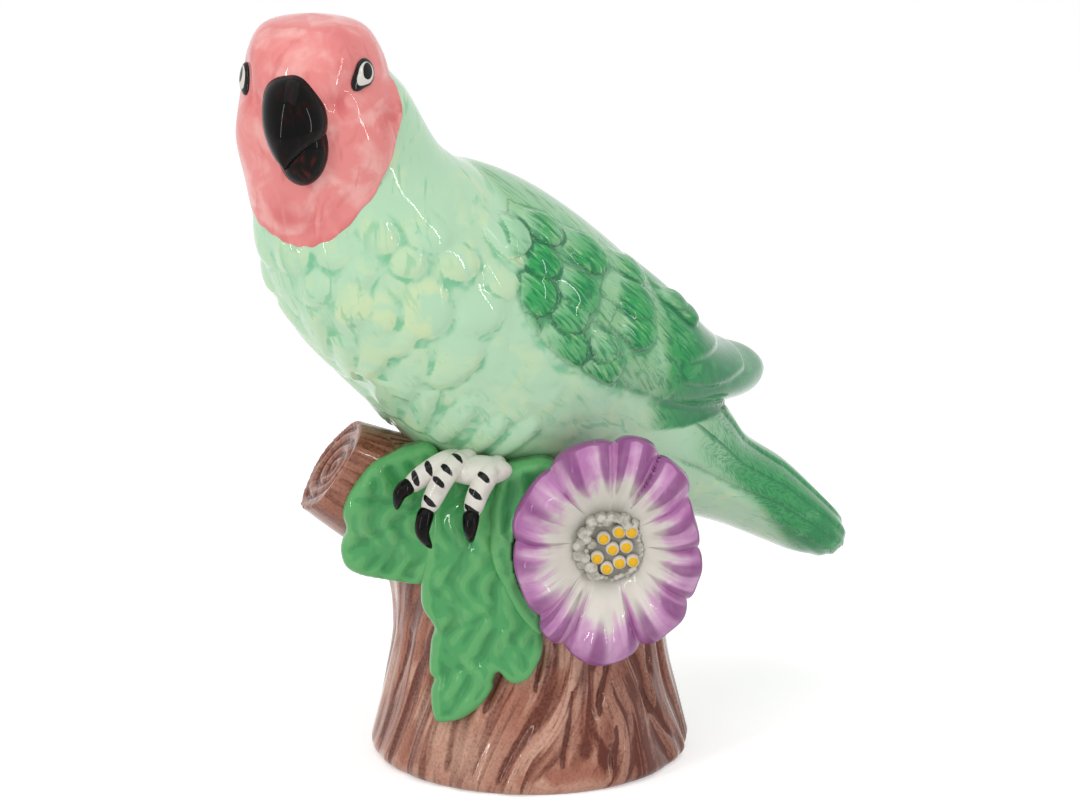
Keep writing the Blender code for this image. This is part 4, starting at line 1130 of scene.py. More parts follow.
def hood_finish(colours):
    f = Finish("painted pink hood")
    place = f.place()
    patches = f.noise(place, 80.0, 3.0, 0.9)
    brush = f.noise(f.stretched(place, (200.0, 200.0, 90.0)), 1.0, 3.0, 1.0)
    colour = f.blend(patches.step(0.44, 0.66) * 0.75, colours.pink, colours.blush)
    dark = f.value("stroke") * brush.step(0.32, 0.58)
    # Rose brush strokes, and painted shade in the hood's hollows
    dark = dark.at_least(brush.step(0.54, 0.72) * 0.45).at_least(f.value("relief_shade").step(0.2, 1.0) * 0.5)
    colour = f.blend(dark.at_most(1.0) * 0.75, colour, colours.rose)
    return f.glaze(colour, patches + brush * 0.3, 0.0003)


def beak_forms():
    """Upper beak with its hooked end over the shorter lower one, in the head's frame."""

    def place(t, angle):
        ridge, height, to_right, to_left, aside = catmull(BEAK_SECTIONS, t).T
        wide = np.where(angle > 0, to_left, to_right) * np.sqrt(np.clip(1 - (2 * t - 1) ** 8, 0, 1))
        crest = BEAK_RIDGE * np.exp(-((angle / 0.35) ** 2)) * np.sin(math.pi * t)
        depth = ridge + BEAK_BACK - BEAK_HALF_DEPTH * np.cos(angle) - crest
        return np.column_stack((aside + wide * np.sin(angle), depth, height))

    return skin(96, 96, place), ball(*LOWER_BEAK, segments=64)


def add_beak(colours):
    # The lower beak takes many dark red patches, a painted reddish reflection; the upper beak takes few
    for name, bm, lighter_patch in zip(("upper_beak", "lower_beak"), beak_forms(), (0.15, 0.9)):
        bm.transform(head_matrix())
        add_piece(name, [bm], beak_finish(name.replace("_", " "), colours, lighter_patch))


def beak_finish(name, colours, lighter_patch):
    f = Finish(name)
    brush = f.noise(f.stretched(f.place(), (260.0, 260.0, 120.0)), 1.0, 3.0, 1.0)
    # Dark red patches in the black glaze
    colour = f.blend(brush.step(0.50, 0.74) * lighter_patch, colours.black, colours.dark_red)
    return f.glaze(colour, brush, 0.0001, 1.2)


def eye_form(matrix, corner):
    """A lens on the hood's skin with a pointed corner, and the plain ball that it was made from."""
    bm = bmesh.new()
    bmesh.ops.create_uvsphere(bm, u_segments=96, v_segments=48, radius=1)
    bm.transform(Matrix.Rotation(math.pi / 2, 4, "X"))
    unit = positions(bm)
    angle = np.arctan2(unit[:, 2], unit[:, 0]) - math.radians(corner)
    angle = (angle + math.pi) % (2 * math.pi) - math.pi
    rim = np.hypot(unit[:, 0], unit[:, 2])
    grow = 1 + EYE_CORNER * np.exp(-((angle / 0.50) ** 2)) * rim**2
    wide, thick, tall = EYE_RADII
    hood = tree_in(bpy.data.objects["hood"].data, matrix)
    formed = []
    for x, y, z in unit * np.column_stack((wide * grow, np.full(len(grow), thick), tall * grow)):
        skin_at, _, _, _ = hood.ray_cast(Vector((x, -0.02, z)), Vector((0, 1, 0)))
        formed.append((x, y - EYE_EDGE + (skin_at.y if skin_at else 0), z))
    set_positions(bm, formed)
    bm.transform(matrix)
    bmesh.ops.recalc_face_normals(bm, faces=bm.faces)
    return bm, unit


def add_eyes(colours):
    for name, (middle, turn, corner) in zip(("left_eye", "right_eye"), EYES):
        matrix = head_matrix() @ Matrix.Translation(middle) @ Matrix.Rotation(math.radians(turn), 4, "Z")
        bm, unit = eye_form(matrix, corner)
        obj = add_piece(name, [bm])
        front = math.copysign(1, math.cos(math.radians(corner)))
        note(obj.data, "rim", np.hypot(unit[:, 0], unit[:, 2]))
        note(obj.data, "pupil", np.hypot((unit[:, 0] + 0.12 * front) / 0.50, (unit[:, 2] - 0.12) / 0.60))
        finish(obj, eye_finish(name.replace("_", " "), colours))


def eye_finish(name, colours):
    f = Finish(name)
    wobble = f.noise(f.place(), 420.0, 2.0) * 0.10
    lines = (f.value("rim") + wobble).step(0.80, 0.86).at_least((f.value("pupil") + wobble).step(1.08, 1.0))
    return f.glaze(f.blend(lines, colours.white, colours.black))


def toe_path(points):
    return [(x, -CROWN_RADIUS - out, STUMP_HEIGHT + up) for x, out, up in points]


def far_path(points, turn):
    reach = [(CROWN_RADIUS + out, STUMP_HEIGHT + up) for out, up in points]
    return [(r * math.cos(turn), r * math.sin(turn), z) for r, z in reach]


def toe_marks(points, path, shares, outward):
    """Short black marks across the top of a toe, above 0 inside each."""
    found = np.full(len(points), -9.0)
    path = np.array(path)
    for share in shares:
        at = catmull(path, np.array([share - 0.02, share, share + 0.02]))
        ahead = (at[2] - at[0]) / np.linalg.norm(at[2] - at[0])
        top = np.array(outward) - np.dot(outward, ahead) * ahead
        middle = at[1] + TOE_RADIUS * top / np.linalg.norm(top)
        across = np.cross(ahead, top / np.linalg.norm(top))
        away = points - middle
        tilt = away @ ahead + 0.25 * (away @ across)
        one = 1 - np.hypot(tilt / 0.0012, (away @ across) / 0.0029)
        deep = np.abs(away @ (top / np.linalg.norm(top))) > 0.0026
        found = np.maximum(found, np.where(deep, -9, one))
    return found


def add_foot(name, paths, marks, outwards, colours, extra=()):
    """One foot's toes as a piece, with their black marks."""
    forms, values = [], []
    for path, shares, outward in zip(paths, marks, outwards):
        bm = limb(path, TOE_RADIUS, TOE_TAPER)
        forms.append(bm)
        values.append(toe_marks(positions(bm), path, shares, outward))
    for bm in extra:
        forms.append(bm)
        values.append(np.full(len(bm.verts), -9.0))
    obj = add_piece(name, forms)
    note(obj.data, "mark", np.concatenate(values))
    finish(obj, toe_finish(name.replace("_", " "), colours))


def add_feet(colours):
    near = [toe_path(points) for points in TOES]
    instep = ball((-0.0165, -CROWN_RADIUS + 0.0020, STUMP_HEIGHT + 0.0100), (0.0105, 0.0072, 0.0046), 48)
    add_foot("near_foot", near, TOE_MARKS, [(-0.2, -0.9, 0.5)] * 3, colours, [instep])
    far = [far_path(FAR_TOE, turn) for turn in FAR_TOE_TURNS]
    away = [(math.cos(t), math.sin(t), 0.5) for t in FAR_TOE_TURNS]
    add_foot("far_foot", far, [FAR_MARKS] * 3, away, colours)
    claws = [toe_path(points) for points in CLAWS]
    claws += [far_path(FAR_CLAW, turn) for turn in FAR_TOE_TURNS]
    forms = [limb(path, CLAW_RADIUS, CLAW_TAPER, 32, 40) for path in claws]
    add_piece("claws", forms, beak_finish("black claws", colours, 0.1))


def toe_finish(name, colours):
    f = Finish(name)
    patches = f.noise(f.place(), 180.0, 2.0)
    ragged = f.noise(f.place(), 600.0, 2.0) * 0.5 - 0.25
    colour = f.blend(patches.step(0.50, 0.75) * 0.35, colours.white, colours.grey)
    return f.glaze(f.blend((f.value("mark") + ragged).step(0.02, 0.16), colour, colours.black))


def stump_radius(z):
    low = np.clip(1 - z / WAIST_HEIGHT, 0, 1) ** 1.25
    high = np.clip((z - WAIST_HEIGHT) / (STUMP_HEIGHT - WAIST_HEIGHT), 0, 1) ** 1.6
    radius = WAIST_RADIUS + (BASE_RADIUS - WAIST_RADIUS) * low
    radius = radius + (CROWN_RADIUS - WAIST_RADIUS) * high
    into_foot = np.clip(1 - z / FOOT_ROUND, 0, 1)
    return radius - FOOT_ROUND * (1 - np.sqrt(1 - into_foot**2))


def bark_flow(angle, z):
    """The turn round the stump at which the bark's flute through each point started."""
    lean = 7 - 12 * np.maximum(np.cos(angle), 0)
    wander = 0.040 * np.sin(3 * angle + z * 70) + 0.022 * np.sin(7 * angle - z * 150 + 1.3)
    return angle - lean * (z - 0.05) + wander


def gashes(angle, z):
    """The deep cuts in the bark, 1 in the middle of each."""
    here = np.column_stack((angle * WAIST_RADIUS, z))
    found = np.zeros(len(z))
    for top_turn, top, foot_turn, foot, wide in GASHES:
        start = np.array((math.radians(top_turn) * WAIST_RADIUS, top))
        step = np.array((math.radians(foot_turn) * WAIST_RADIUS, foot)) - start
        share = (here - start) @ step / (step @ step)
        away = (here - start) @ (step[1], -step[0]) / np.linalg.norm(step)
        away = away + 0.0008 * np.sin(3.5 * share + 900 * wide)
        open_to = np.clip(1 - (2 * share - 1) ** 2, 0, 1)
        one = np.exp(-((away / (wide * (0.2 + 0.7 * open_to))) ** 2)) * smoothstep(open_to * 1.6)
        found = np.maximum(found, one)
    return found


def bark(angle, z):
    """How deep the bark's flutes are, from 0 on a ridge to 1."""
    flow = bark_flow(angle, z)
    broad = np.sin(BARK_GROOVES * flow + 1.0 + 0.8 * np.sin(z * 60))
    fine = np.sin(31 * flow + 2.0 * np.sin(3 * angle + 1))
    deep = 0.45 + 0.28 * broad + 0.20 * fine + 0.10 * np.sin(53 * flow + 40 * z)
    return np.clip(deep, 0, 1) ** 1.4 * 0.8 + 0.9 * gashes(angle, z)


def stump_form(sizes):
    bottom = -STUMP_OVERCUT

    def place(t, angle):
        z = STUMP_HEIGHT - (STUMP_HEIGHT - bottom) * (0.5 - 0.5 * np.cos(math.pi * t))
        left = np.clip(-np.cos(angle), 0, 1) ** 2
        swell = sizes.left_swell * left * (1 + 1.2 * smoothstep((z - 0.050) / 0.020))
        depth = sizes.bark_depth * (1 - 0.6 * left) * smoothstep(z / 0.006 + 0.3)
        radius = stump_radius(z) + swell - depth * bark(angle, z)
        radius = radius * np.clip(np.sin(math.pi * t) * 4.5, 0, 1) ** 0.6
        return np.column_stack((radius * np.cos(angle), radius * np.sin(angle), z))

    return skin(360, 160, place)


def stub_matrix():
    lie = Matrix.Rotation(STUB_TURN, 4, "Z") @ Matrix.Rotation(STUB_RISE - math.pi / 2, 4, "Y")
    return Matrix.Translation((0, 0, STUMP_HEIGHT - STUB_DROP)) @ lie


def stub_form(depth):
    def place(t, angle):
        along = 1 - t
        reach = STUB_LENGTH * np.clip(along / 0.75, 0, 1)
        thin = np.clip(along / 0.75, 0, 1) ** 2
        width = STUB_ROOT_RADIUS + (STUB_RADIUS - STUB_ROOT_RADIUS) * thin
        width = width - 0.15 * depth * (1 + np.sin(5 * angle + 40 * reach)) - 0.0003 * np.sin(3 * angle)
        over_end = np.clip((1 - along) / 0.25, 0, 1)
        width = width * over_end**0.8
        oval = width * (1 + 0.10 * np.sin(2 * angle + 0.8)) + 0.0006 * angle
        rings = RING_DEPTH * np.clip(0.35 + 0.8 * np.cos(2 * math.pi * oval / RING_PITCH), 0, 1)
        reach = reach - rings * (over_end < 0.9) - 0.0012 * (1 - over_end)
        x, y = width * np.cos(angle), width * np.sin(angle)
        slant = smoothstep(reach / STUB_LENGTH * 2 - 1)
        return np.column_stack((x, y, reach - (END_SLANT[0] * x + END_SLANT[1] * y) * slant))

    bm = skin(120, 160, place)
    bm.transform(stub_matrix())
    bmesh.ops.recalc_face_normals(bm, faces=bm.faces)
    return bm


def cut_flat(obj):
    """Cuts the foot off level at the floor and closes it."""
    bm = bmesh.new()
    bm.from_mesh(obj.data)
    everything = [*bm.verts, *bm.edges, *bm.faces]
    bmesh.ops.bisect_plane(
        bm, geom=everything, dist=1e-6, plane_co=(0, 0, 0), plane_no=(0, 0, -1), clear_outer=True
    )
    rim = [e for e in bm.edges if e.is_boundary]
    bmesh.ops.edgeloop_fill(bm, edges=rim)
    bmesh.ops.recalc_face_normals(bm, faces=bm.faces)
    bm.to_mesh(obj.data)


def add_stump(sizes, colours):
    obj = add_piece("stump", [stump_form(sizes), stub_form(sizes.bark_depth)])
    fuse(obj, sizes.stump_grain)
    cut_flat(obj)
    mesh = obj.data
    points = mesh_points(mesh)
    angle = np.arctan2(points[:, 1], points[:, 0])
    radius = np.hypot(points[:, 0], points[:, 1])
    branch = seen_from(points, stub_matrix())
    on_branch = smoothstep((radius - CROWN_RADIUS - 0.004) / 0.004) * (points[:, 2] > 0.045)
    turn = np.arctan2(branch[:, 1], branch[:, 0])
    note(mesh, "relief_shade", relief_shading(mesh, 0.00030, 8))
    flow = bark_flow(angle, points[:, 2])
    trunk_lie = np.column_stack((flow * WAIST_RADIUS, points[:, 2], radius * 0.3))
    branch_lie = np.column_stack((turn * STUB_RADIUS, branch[:, 2], np.hypot(branch[:, 0], branch[:, 1])))
    share = on_branch[:, None]
    note(mesh, "lie", np.where(share > 0.5, branch_lie, trunk_lie))
    note(mesh, "gash", gashes(angle, points[:, 2]) * (1 - on_branch))
    lighter_patch = np.exp(-(((angle + 2.05) / 0.30) ** 2) - ((points[:, 2] - 0.012) / 0.013) ** 2)
    note(mesh, "lighter_patch", lighter_patch)
    note(mesh, "branch", on_branch)
    # Painted shade, darker towards the stump's right side at +X
    note(mesh, "right_side_shade", smoothstep((np.cos(angle) - 0.25) / 0.6) * (1 - on_branch))
    finish(obj, stump_finish(colours))


def stump_finish(colours):
    f = Finish("painted bark")
    place = f.place()
    lie = f.vector("lie")
    streaks = f.noise(f.stretched(lie, (300.0, 26.0, 40.0)), 1.0, 4.0, 0.8)
    fine = f.noise(f.stretched(lie, (1300.0, 140.0, 90.0)), 1.0, 3.0, 0.4)
    mottle = f.noise(place, 1100.0, 3.0)
    broad = f.noise(place, 34.0, 2.0, 0.6)
    relief_shade = f.value("relief_shade")
    lighter_patch, branch, right_side_shade = f.value("lighter_patch"), f.value("branch"), f.value("right_side_shade")
    thin = broad.step(0.44, 0.60) * streaks.step(0.60, 0.42)
    # Pale streaks, with painted light on the bark's ridges
    thin = thin.at_least(relief_shade.step(-0.15, -0.85) * 0.7) * (1 - branch * 0.75) * (1 - right_side_shade * 0.5)
    colour = f.blend(thin.at_least(lighter_patch).at_most(1.0) * 0.85, colours.bark, colours.sand)
    dark = streaks.step(0.48, 0.64) * 0.85
    dark = dark.at_least(fine.step(0.52, 0.72) * 0.45) * (1 - lighter_patch * 0.7) * (1 - branch * 0.45)
    # Painted shade in the bark's grooves
    dark = dark.at_least(relief_shade.step(0.05, 0.70) * 0.85)
    # Speckles, painted shade on the right side, and the branch's darker paint
    dark = dark + mottle.step(0.42, 0.70) * 0.28 + right_side_shade * 0.42 + branch * 0.20
    dark = dark.at_least(f.value("gash").step(0.15, 0.90) * 0.9)
    colour = f.blend(dark.at_most(1.0) * 0.92, colour, colours.sap)
    return f.glaze(colour, streaks * 0.6 + fine * 0.4, 0.0003)


def closed_curve(points, step):
    """A smooth closed line through some points, in steps of about one length."""
    ring = np.array((points[-1], *points, points[0], points[1]))
    lengths = np.linalg.norm(np.diff(ring, axis=0), axis=1)
    t = []
    for i in range(1, len(points) + 1):
        count = max(2, round(lengths[i] / step))
        t += [(i + k / count) / (len(ring) - 1) for k in range(count)]
    return catmull(ring, np.array(t))


def support_at(support, x, z):
    """The stump's front at one X and Z, or a little behind the crown's rim where it has none."""
    there, _, _, _ = support.ray_cast(Vector((x, -1, z)), Vector((0, 1, 0)))
    free = -CROWN_RADIUS + LEAF_FREE
    return min(there.y, free + 0.008) if there else free


def onto_line(points, line):
    """The nearest point to each on a closed line."""
    best = np.full(len(points), np.inf)
    found = points.copy()
    for a, b in zip(line, np.roll(line, -1, axis=0)):
        share = np.clip((points - a) @ (b - a) / ((b - a) @ (b - a)), 0, 1)
        there = a + share[:, None] * (b - a)
        gap = np.linalg.norm(points - there, axis=1)
        found = np.where((gap < best)[:, None], there, found)
        best = np.minimum(best, gap)
    return found


def leaf_sheet(edge, grain):
    """A flat sheet cut to a closed line from a fine grid."""
    low, high = edge.min(axis=0) - grain, edge.max(axis=0) + grain
    wide, tall = high - low
    bm = bmesh.new()
    bmesh.ops.create_grid(bm, x_segments=round(wide / grain), y_segments=round(tall / grain), size=0.5)
    middle = Vector(((low[0] + high[0]) / 2, 0, (low[1] + high[1]) / 2))
    stand = Matrix.Rotation(math.pi / 2, 4, "X") @ Matrix.Diagonal((wide, tall, 1, 1))
    bm.transform(Matrix.Translation(middle) @ stand)
    outline = [tuple(p) for p in edge]
    centres = np.array([f.calc_center_median() for f in bm.faces])[:, [0, 2]]
    outer = [f for f, inside in zip(bm.faces, inside_by(centres, outline) > -0.2 * grain) if not inside]
    bmesh.ops.delete(bm, geom=outer, context="FACES")
    lone = [v for v in bm.verts if len(v.link_faces) < 2 and v.is_boundary]
    bmesh.ops.dissolve_verts(bm, verts=lone)
    rim = [v for v in bm.verts if v.is_boundary]
    at = onto_line(np.array([(v.co.x, v.co.z) for v in rim]), edge)
    for vert, (x, z) in zip(rim, at):
        vert.co.x, vert.co.z = x, z
    return bm


def leaf_form(outline, veins, lift, support, sizes):
    """A thick leaf that lies over the stump and the branch."""
    edge = closed_curve(outline, sizes.leaf_grain) + (0, STUMP_HEIGHT)
    bm = leaf_sheet(edge, sizes.leaf_grain)
    flat = positions(bm)[:, [0, 2]]
    depth = np.array([support_at(support, x, z) for x, z in flat])
    sheet = bpy.data.meshes.new("sheet")
    bm.to_mesh(sheet)
    depth = smoothed(sheet, depth, int(LEAF_DRAPE / sizes.leaf_grain) ** 2 // 2)
    bpy.data.meshes.remove(sheet)
    inward = to_curve(flat, [tuple(p) for p in (*edge, edge[0])])
    round_edge = np.clip(inward / LEAF_EDGE, 0, 1)
    thick = lift * (0.35 + 0.65 * np.sqrt(1 - (1 - round_edge) ** 2))
    for vein in veins:
        line = [tuple(p) for p in catmull(vein, np.linspace(0, 1, 12)) + (0, STUMP_HEIGHT)]
        distance = to_curve(flat, line)
        thick = thick - sizes.vein_depth * np.exp(-((distance / VEIN_WIDTH) ** 2))
        beside = (distance - 3 * VEIN_WIDTH) / (2.0 * VEIN_WIDTH)
        thick = thick + sizes.vein_depth * np.exp(-(beside**2))
    fold = np.sin(flat[:, 0] * 420 + flat[:, 1] * 160) * np.sin(flat[:, 1] * 210 - flat[:, 0] * 90)
    ripple = np.sin(flat[:, 0] * 900 + 2 * np.sin(flat[:, 1] * 300)) * np.sin(flat[:, 1] * 190 + 1)
    thick = thick + (0.0006 * fold + 0.0005 * ripple) * round_edge
    x, _, z = flower_centre()
    from_flower = np.hypot(flat[:, 0] - x, flat[:, 1] - z)
    thick = thick * (0.65 + 0.35 * smoothstep((from_flower - 0.031) / 0.010))
    depth = np.where(from_flower < 0.030, np.maximum(depth, thick - FLOWER_REAR), depth)
    front = list(bm.verts)
    made = bmesh.ops.extrude_face_region(bm, geom=list(bm.faces), use_keep_orig=True)["geom"]
    back = [v for v in made if isinstance(v, bmesh.types.BMVert)]
    behind = {(round(x, 6), round(z, 6)): d for (x, z), d in zip(flat, depth)}
    for vert in back:
        vert.co.y = behind[(round(vert.co.x, 6), round(vert.co.z, 6))] + LEAF_BACK
    for vert, d, h in zip(front, depth, thick):
        vert.co.y = d - h
    bmesh.ops.recalc_face_normals(bm, faces=bm.faces)
    return bm


def add_leaves(sizes, colours):
    stump = together([stump_form(sizes), stub_form(sizes.bark_depth)])
    support = BVHTree.FromBMesh(stump)
    leaves = (
        ("left_leaf", LEFT_LEAF, LEFT_VEINS, LEFT_LEAF_LIFT),
        ("hanging_leaf", HANGING_LEAF, HANGING_VEINS, HANGING_LEAF_LIFT),
        ("inner_leaf", INNER_LEAF, INNER_VEINS, INNER_LEAF_LIFT),
    )
    for name, outline, veins, lift in leaves:
        obj = add_piece(name, [leaf_form(outline, veins, lift, support, sizes)])
        note(obj.data, "relief_shade", relief_shading(obj.data, 0.00018, 8))
        finish(obj, leaf_finish(name.replace("_", " "), colours))


def leaf_finish(name, colours):
    f = Finish(name)
    place = f.place()
    patches = f.noise(place, 75.0, 3.0, 0.7)
    brush = f.noise(f.stretched(place, (320.0, 200.0, 90.0)), 1.0, 3.0, 0.6)
    relief_shade = f.value("relief_shade")
    colour = f.blend(patches.step(0.55, 0.75) * 0.6, colours.leaf, colours.fresh)
    # Painted light on the leaves' ridges
    colour = f.blend(relief_shade.step(-0.25, -0.95) * 0.4, colour, colours.fresh)
    # Painted shade in the creases, and darker brush strokes
    dark = (relief_shade.step(0.20, 1.0) * 0.45).at_least(brush.step(0.55, 0.75) * 0.30)
    colour = f.blend(dark * 0.85, colour, colours.moss)
    return f.glaze(colour, patches + brush * 0.3, 0.0004)


def petal_place(angle):
    """Each direction's petal reach, and how far across its petal it is from -1 to 1."""
    folds = np.array((*FOLDS, FOLDS[0] + 2 * math.pi))
    turned = (angle - folds[0]) % (2 * math.pi) + folds[0]
    petal = np.clip(np.searchsorted(folds, turned, side="right") - 1, 0, len(FOLDS) - 1)
    across = 2 * (turned - folds[petal]) / (folds[petal + 1] - folds[petal]) - 1
    reaches = np.array(REACHES)
    other = (petal + np.where(across > 0, 1, -1)) % len(FOLDS)
    blend = 0.5 * np.abs(across) ** 2
    reach = reaches[petal] * (1 - blend) + reaches[other] * blend
    return reach * (1 - 0.055 * np.abs(across) ** 4), across, petal


def flower_centre():
    """The middle of the flower's rim, in front of the stump."""
    z = STUMP_HEIGHT - FLOWER_DROP
    surface = math.sqrt(float(stump_radius(z)) ** 2 - FLOWER_ACROSS**2)
    return FLOWER_ACROSS, -surface - FLOWER_STAND, z


def flower_form(sizes, shares):
    def place(t, angle):
        reach, across, petal = petal_place(angle)
        front = np.clip(t / 0.68, 0, 1)
        behind = np.clip((t - 0.68) / 0.32, 0, 1)
        radius = reach * np.where(t < 0.68, np.sqrt(np.clip(front, 0, 1)), 1 - behind**1.3)
        share = radius / reach
        cup = smoothstep((share - CUP_SHARE) / (CREST_SHARE - CUP_SHARE))
        roll = np.clip((share - CREST_SHARE) / (1 - CREST_SHARE), 0, 1) ** 2
        bulge = sizes.petal_bulge * smoothstep((share - 0.3) / 0.5) * (1 - np.abs(across) ** 2.2 * 1.4)
        fold = 0.0008 * np.sin(across * 5.5 + petal * 2.1) * smoothstep((share - 0.35) / 0.3)
        lift = RIM_LIFT * np.clip(-np.cos(angle - 0.3), 0, 1) * np.clip(share, 0, 1) ** 2
        top = sizes.flower_cup * (cup - 1) - FLOWER_ROLL * roll + bulge + fold + lift
        rim = -FLOWER_ROLL + lift
        toward = np.where(t < 0.68, top, rim - FLOWER_LIP - FLOWER_ROOT * behind**0.8)
        x, y, z = flower_centre()
        shares.append((share, across, t))
        return np.column_stack((x + radius * np.cos(angle), y - toward, z + radius * np.sin(angle)))

    return skin(400, 160, place)


def add_flower(sizes, colours):
    shares = []
    obj = add_piece("flower", [flower_form(sizes, shares)])
    share, across, t = shares[0]
    mesh = obj.data
    note(mesh, "relief_shade", relief_shading(mesh, 0.00012, 8))
    note(mesh, "share", np.where(t < 0.68, share, 1.2))
    note(mesh, "across", np.abs(across))
    x, _, z = flower_centre()
    points = mesh_points(mesh)
    angle = np.arctan2(points[:, 2] - z, points[:, 0] - x)
    note(mesh, "ray", np.column_stack((np.cos(angle), np.sin(angle), share * 0.35)))
    finish(obj, flower_finish(colours))
    add_anthers(sizes, colours)


def flower_finish(colours):
    f = Finish("painted petals")
    share, across, relief_shade = f.value("share"), f.value("across"), f.value("relief_shade")
    rays = f.noise(f.stretched(f.vector("ray"), (6.0, 6.0, 4.0)), 1.0, 4.0, 0.7)
    patches = f.noise(f.place(), 110.0, 3.0, 0.9)
    reach = share + (rays - 0.5) * 0.8 + (patches - 0.5) * 0.35 + across.step(0.72, 1.0) * 0.14
    lilac = f.blend(reach.step(0.56, 0.78), colours.white, colours.lilac)
    deep = (reach.step(0.66, 1.05) * (0.45 + patches * 0.7)).at_most(1.0)
    colour = f.blend(deep, lilac, colours.orchid)
    # Painted shade in the folds between the outer petals
    fold = relief_shade.step(0.15, 0.9) * share.step(0.52, 0.72)
    colour = f.blend(fold * 0.75, colour, colours.plum)
    shadow = share.step(0.48, 0.22).at_least(relief_shade.step(0.2, 0.9) * share.step(0.72, 0.50)) * 0.8
    colour = f.blend(shadow, colour, colours.grey)
    return f.glaze(colour, rays, 0.0004)


def add_anthers(sizes, colours):
    x, y, z = flower_centre()
    floor = y + sizes.flower_cup
    radius = sizes.anther_radius
    anthers = []
    for dx, dz in ANTHERS:
        bm = ball((x + dx, floor - radius / 2, z + dz), (radius, 1.2 * radius, radius), 32)
        anthers.append(bm)
    obj = add_piece("anthers", anthers)
    points = mesh_points(obj.data)
    middles = [(x + dx, z + dz) for dx, dz in ANTHERS]
    tips = np.repeat(middles, len(anthers[0].verts), axis=0)
    note(obj.data, "cap", np.linalg.norm(points[:, [0, 2]] - tips, axis=1) / radius)
    finish(obj, anther_finish(colours))
    knobs = []
    for i in range(KNOB_COUNT):
        turn = math.radians(50 + 360 * i / KNOB_COUNT)
        luck, other = float(made_up(i, 3)), float(made_up(i, 8))
        thick = math.cos(turn - math.radians(150)) > -0.2
        reach = (0.0078 + 0.0024 * luck) if thick else (0.0096 + 0.0012 * luck)
        size = (0.0013 + 0.0010 * other) if thick else (0.0007 + 0.0005 * other)
        centre = (x + reach * math.cos(turn), floor - size * 0.5 - 0.0010, z + reach * math.sin(turn))
        knobs.append(ball(centre, (size, size * 1.3, size * 0.9), 16))
    for dx, dz, size in KNOBS:
        knobs.append(ball((x + dx, floor - size * 0.5, z + dz), (size, size * 1.2, size * 0.9), 16))
    obj = add_piece("flower_knobs", knobs)
    fuse(obj, 0.0003)
    note(obj.data, "relief_shade", relief_shading(obj.data, 0.00012, 4))
    finish(obj, knob_finish(colours))


def anther_finish(colours):
    f = Finish("yellow anthers")
    wobble = f.noise(f.place(), 700.0, 2.0) * 0.2
    cap = (f.value("cap") + wobble).step(0.86, 0.76)
    return f.glaze(f.blend(cap, colours.white, colours.yellow))


def knob_finish(colours):
    f = Finish("bare knobs")
    patches = f.noise(f.place(), 420.0, 3.0)
    # Grey patches, with painted shade in the hollows between the knobs
    grey = (0.25 + patches.step(0.42, 0.62) * 0.6).at_least(f.value("relief_shade").step(-0.1, 0.5))
    return f.glaze(f.blend(grey, colours.white, colours.grey), patches, 0.0004)


def add_floor():
    bm = bmesh.new()
    bmesh.ops.create_circle(bm, cap_ends=True, segments=96, radius=3.0)
    mesh = bpy.data.meshes.new("floor")
    bm.to_mesh(mesh)
    floor = bpy.data.objects.new("floor", mesh)
    bpy.context.scene.collection.objects.link(floor)
    f = Finish("pale floor")
    f.feed(f.shader.inputs["Base Color"], (0.9, 0.9, 0.9))
    f.feed(f.shader.inputs["Roughness"], 0.9)
    f.feed(f.shader.inputs["Specular IOR Level"], 0.0)
    glow = f.blend(f.seen_straight(), (0.0, 0.0, 0.0), (1.0, 1.0, 1.0))
    f.feed(f.shader.inputs["Emission Color"], glow)
    f.feed(f.shader.inputs["Emission Strength"], 0.45)
    mesh.materials.append(f.material)


def add_lamp(name, place, target, size, tall, watts):
    data = bpy.data.lights.new(name, "AREA")
    data.shape = "RECTANGLE"
    data.size = size
    data.size_y = tall
    data.energy = watts
    lamp = bpy.data.objects.new(name, data)
    bpy.context.scene.collection.objects.link(lamp)
    lamp.location = place
    lamp.rotation_euler = (Vector(target) - Vector(place)).to_track_quat("-Z", "Y").to_euler()


def add_world():
    world = bpy.data.worlds.new("studio")
    world.use_nodes = True
    bpy.context.scene.world = world
    n = Nodes(world.node_tree)
    white = (1.0, 1.0, 1.0)
    lit = n.add("ShaderNodeBackground", {}, {"Color": white, "Strength": 0.50})
    shown = n.add("ShaderNodeBackground", {}, {"Color": white, "Strength": 1.0})
    mixed = n.add("ShaderNodeMixShader", {}, {0: n.seen_straight(), 1: lit, 2: shown})
    n.feed(world.node_tree.nodes["World Output"].inputs["Surface"], mixed)


def add_camera():
    data = bpy.data.cameras.new("camera")
    camera = bpy.data.objects.new("camera", data)
    bpy.context.scene.collection.objects.link(camera)
    bpy.context.scene.camera = camera
    data.sensor_width = SENSOR_WIDTH
    data.lens = CAMERA_LENS
    back = Vector((0, -math.cos(CAMERA_RISE), math.sin(CAMERA_RISE)))
    camera.location = CAMERA_TARGET + back * CAMERA_DISTANCE
    camera.rotation_euler = (-back).to_track_quat("-Z", "Y").to_euler()


def props(context):
    return context.scene.figurine_sizes, context.scene.figurine_colours


class FIGURINE_OT_plumage(bpy.types.Operator):
    """Builds the feathered skin with its pink hood"""

    bl_idname = "figurine.plumage"
    bl_label = "Plumage"

    def execute(self, context):
        plumage(*props(context))
        return {"FINISHED"}


class FIGURINE_OT_face(bpy.types.Operator):
    """Builds the beak and the eyes"""

    bl_idname = "figurine.face"
    bl_label = "Beak and eyes"

    def execute(self, context):
        _, colours = props(context)
        add_beak(colours)
        add_eyes(colours)
        return {"FINISHED"}


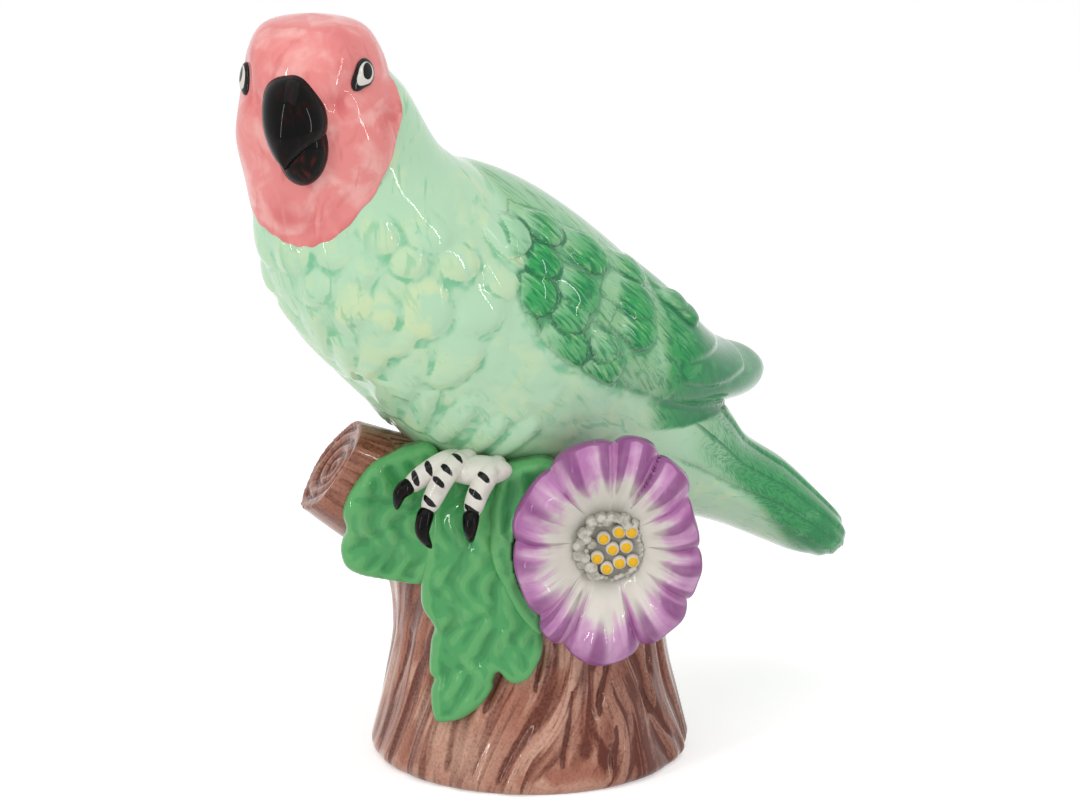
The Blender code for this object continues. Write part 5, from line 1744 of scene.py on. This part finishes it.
class FIGURINE_OT_feet(bpy.types.Operator):
    """Builds both feet with their claws"""

    bl_idname = "figurine.feet"
    bl_label = "Feet"

    def execute(self, context):
        add_feet(props(context)[1])
        return {"FINISHED"}


class FIGURINE_OT_stump(bpy.types.Operator):
    """Builds the stump with its sawn branch"""

    bl_idname = "figurine.stump"
    bl_label = "Stump"

    def execute(self, context):
        add_stump(*props(context))
        return {"FINISHED"}


class FIGURINE_OT_leaves(bpy.types.Operator):
    """Builds the three leaves"""

    bl_idname = "figurine.leaves"
    bl_label = "Leaves"

    def execute(self, context):
        add_leaves(*props(context))
        return {"FINISHED"}


class FIGURINE_OT_flower(bpy.types.Operator):
    """Builds the flower with its anthers"""

    bl_idname = "figurine.flower"
    bl_label = "Flower"

    def execute(self, context):
        add_flower(*props(context))
        return {"FINISHED"}


class FIGURINE_OT_studio(bpy.types.Operator):
    """Sets up the floor, lamps, world and camera"""

    bl_idname = "figurine.studio"
    bl_label = "Studio"

    def execute(self, context):
        add_floor()
        add_lamp("left strip", (-0.9, -0.9, 0.55), (0, 0, 0.12), 0.05, 0.9, 4)
        add_lamp("right strip", (1.0, -0.7, 0.5), (0, 0, 0.12), 0.04, 0.9, 2.5)
        add_lamp("overhead", (-0.1, -0.4, 1.7), (0, 0, 0.1), 2.0, 2.0, 11)
        add_world()
        add_camera()
        context.scene.view_settings.view_transform = "Standard"
        return {"FINISHED"}


class FIGURINE_PT_panel(bpy.types.Panel):
    """Lists the figurine's pieces, sizes and colours"""

    bl_idname = "FIGURINE_PT_panel"
    bl_label = "Parrot Figurine"
    bl_space_type = "VIEW_3D"
    bl_region_type = "UI"
    bl_category = "Figurine"

    def draw(self, context):
        for operator in OPERATORS:
            self.layout.operator(operator.bl_idname)
        for group in props(context):
            box = self.layout.box()
            for name in group.bl_rna.properties.keys():
                if name not in ("rna_type", "name"):
                    box.prop(group, name)


OPERATORS = (
    FIGURINE_OT_plumage,
    FIGURINE_OT_face,
    FIGURINE_OT_feet,
    FIGURINE_OT_stump,
    FIGURINE_OT_leaves,
    FIGURINE_OT_flower,
    FIGURINE_OT_studio,
)
CLASSES = (FigurineSizes, FigurineColours, *OPERATORS, FIGURINE_PT_panel)


def register():
    for cls in CLASSES:
        bpy.utils.register_class(cls)
    bpy.types.Scene.figurine_sizes = PointerProperty(type=FigurineSizes)
    bpy.types.Scene.figurine_colours = PointerProperty(type=FigurineColours)


def unregister():
    del bpy.types.Scene.figurine_colours
    del bpy.types.Scene.figurine_sizes
    for cls in reversed(CLASSES):
        bpy.utils.unregister_class(cls)


def main():
    register()
    bpy.ops.figurine.plumage()
    bpy.ops.figurine.face()
    bpy.ops.figurine.feet()
    bpy.ops.figurine.stump()
    bpy.ops.figurine.leaves()
    bpy.ops.figurine.flower()
    bpy.ops.figurine.studio()


if __name__ == "__main__":
    main()
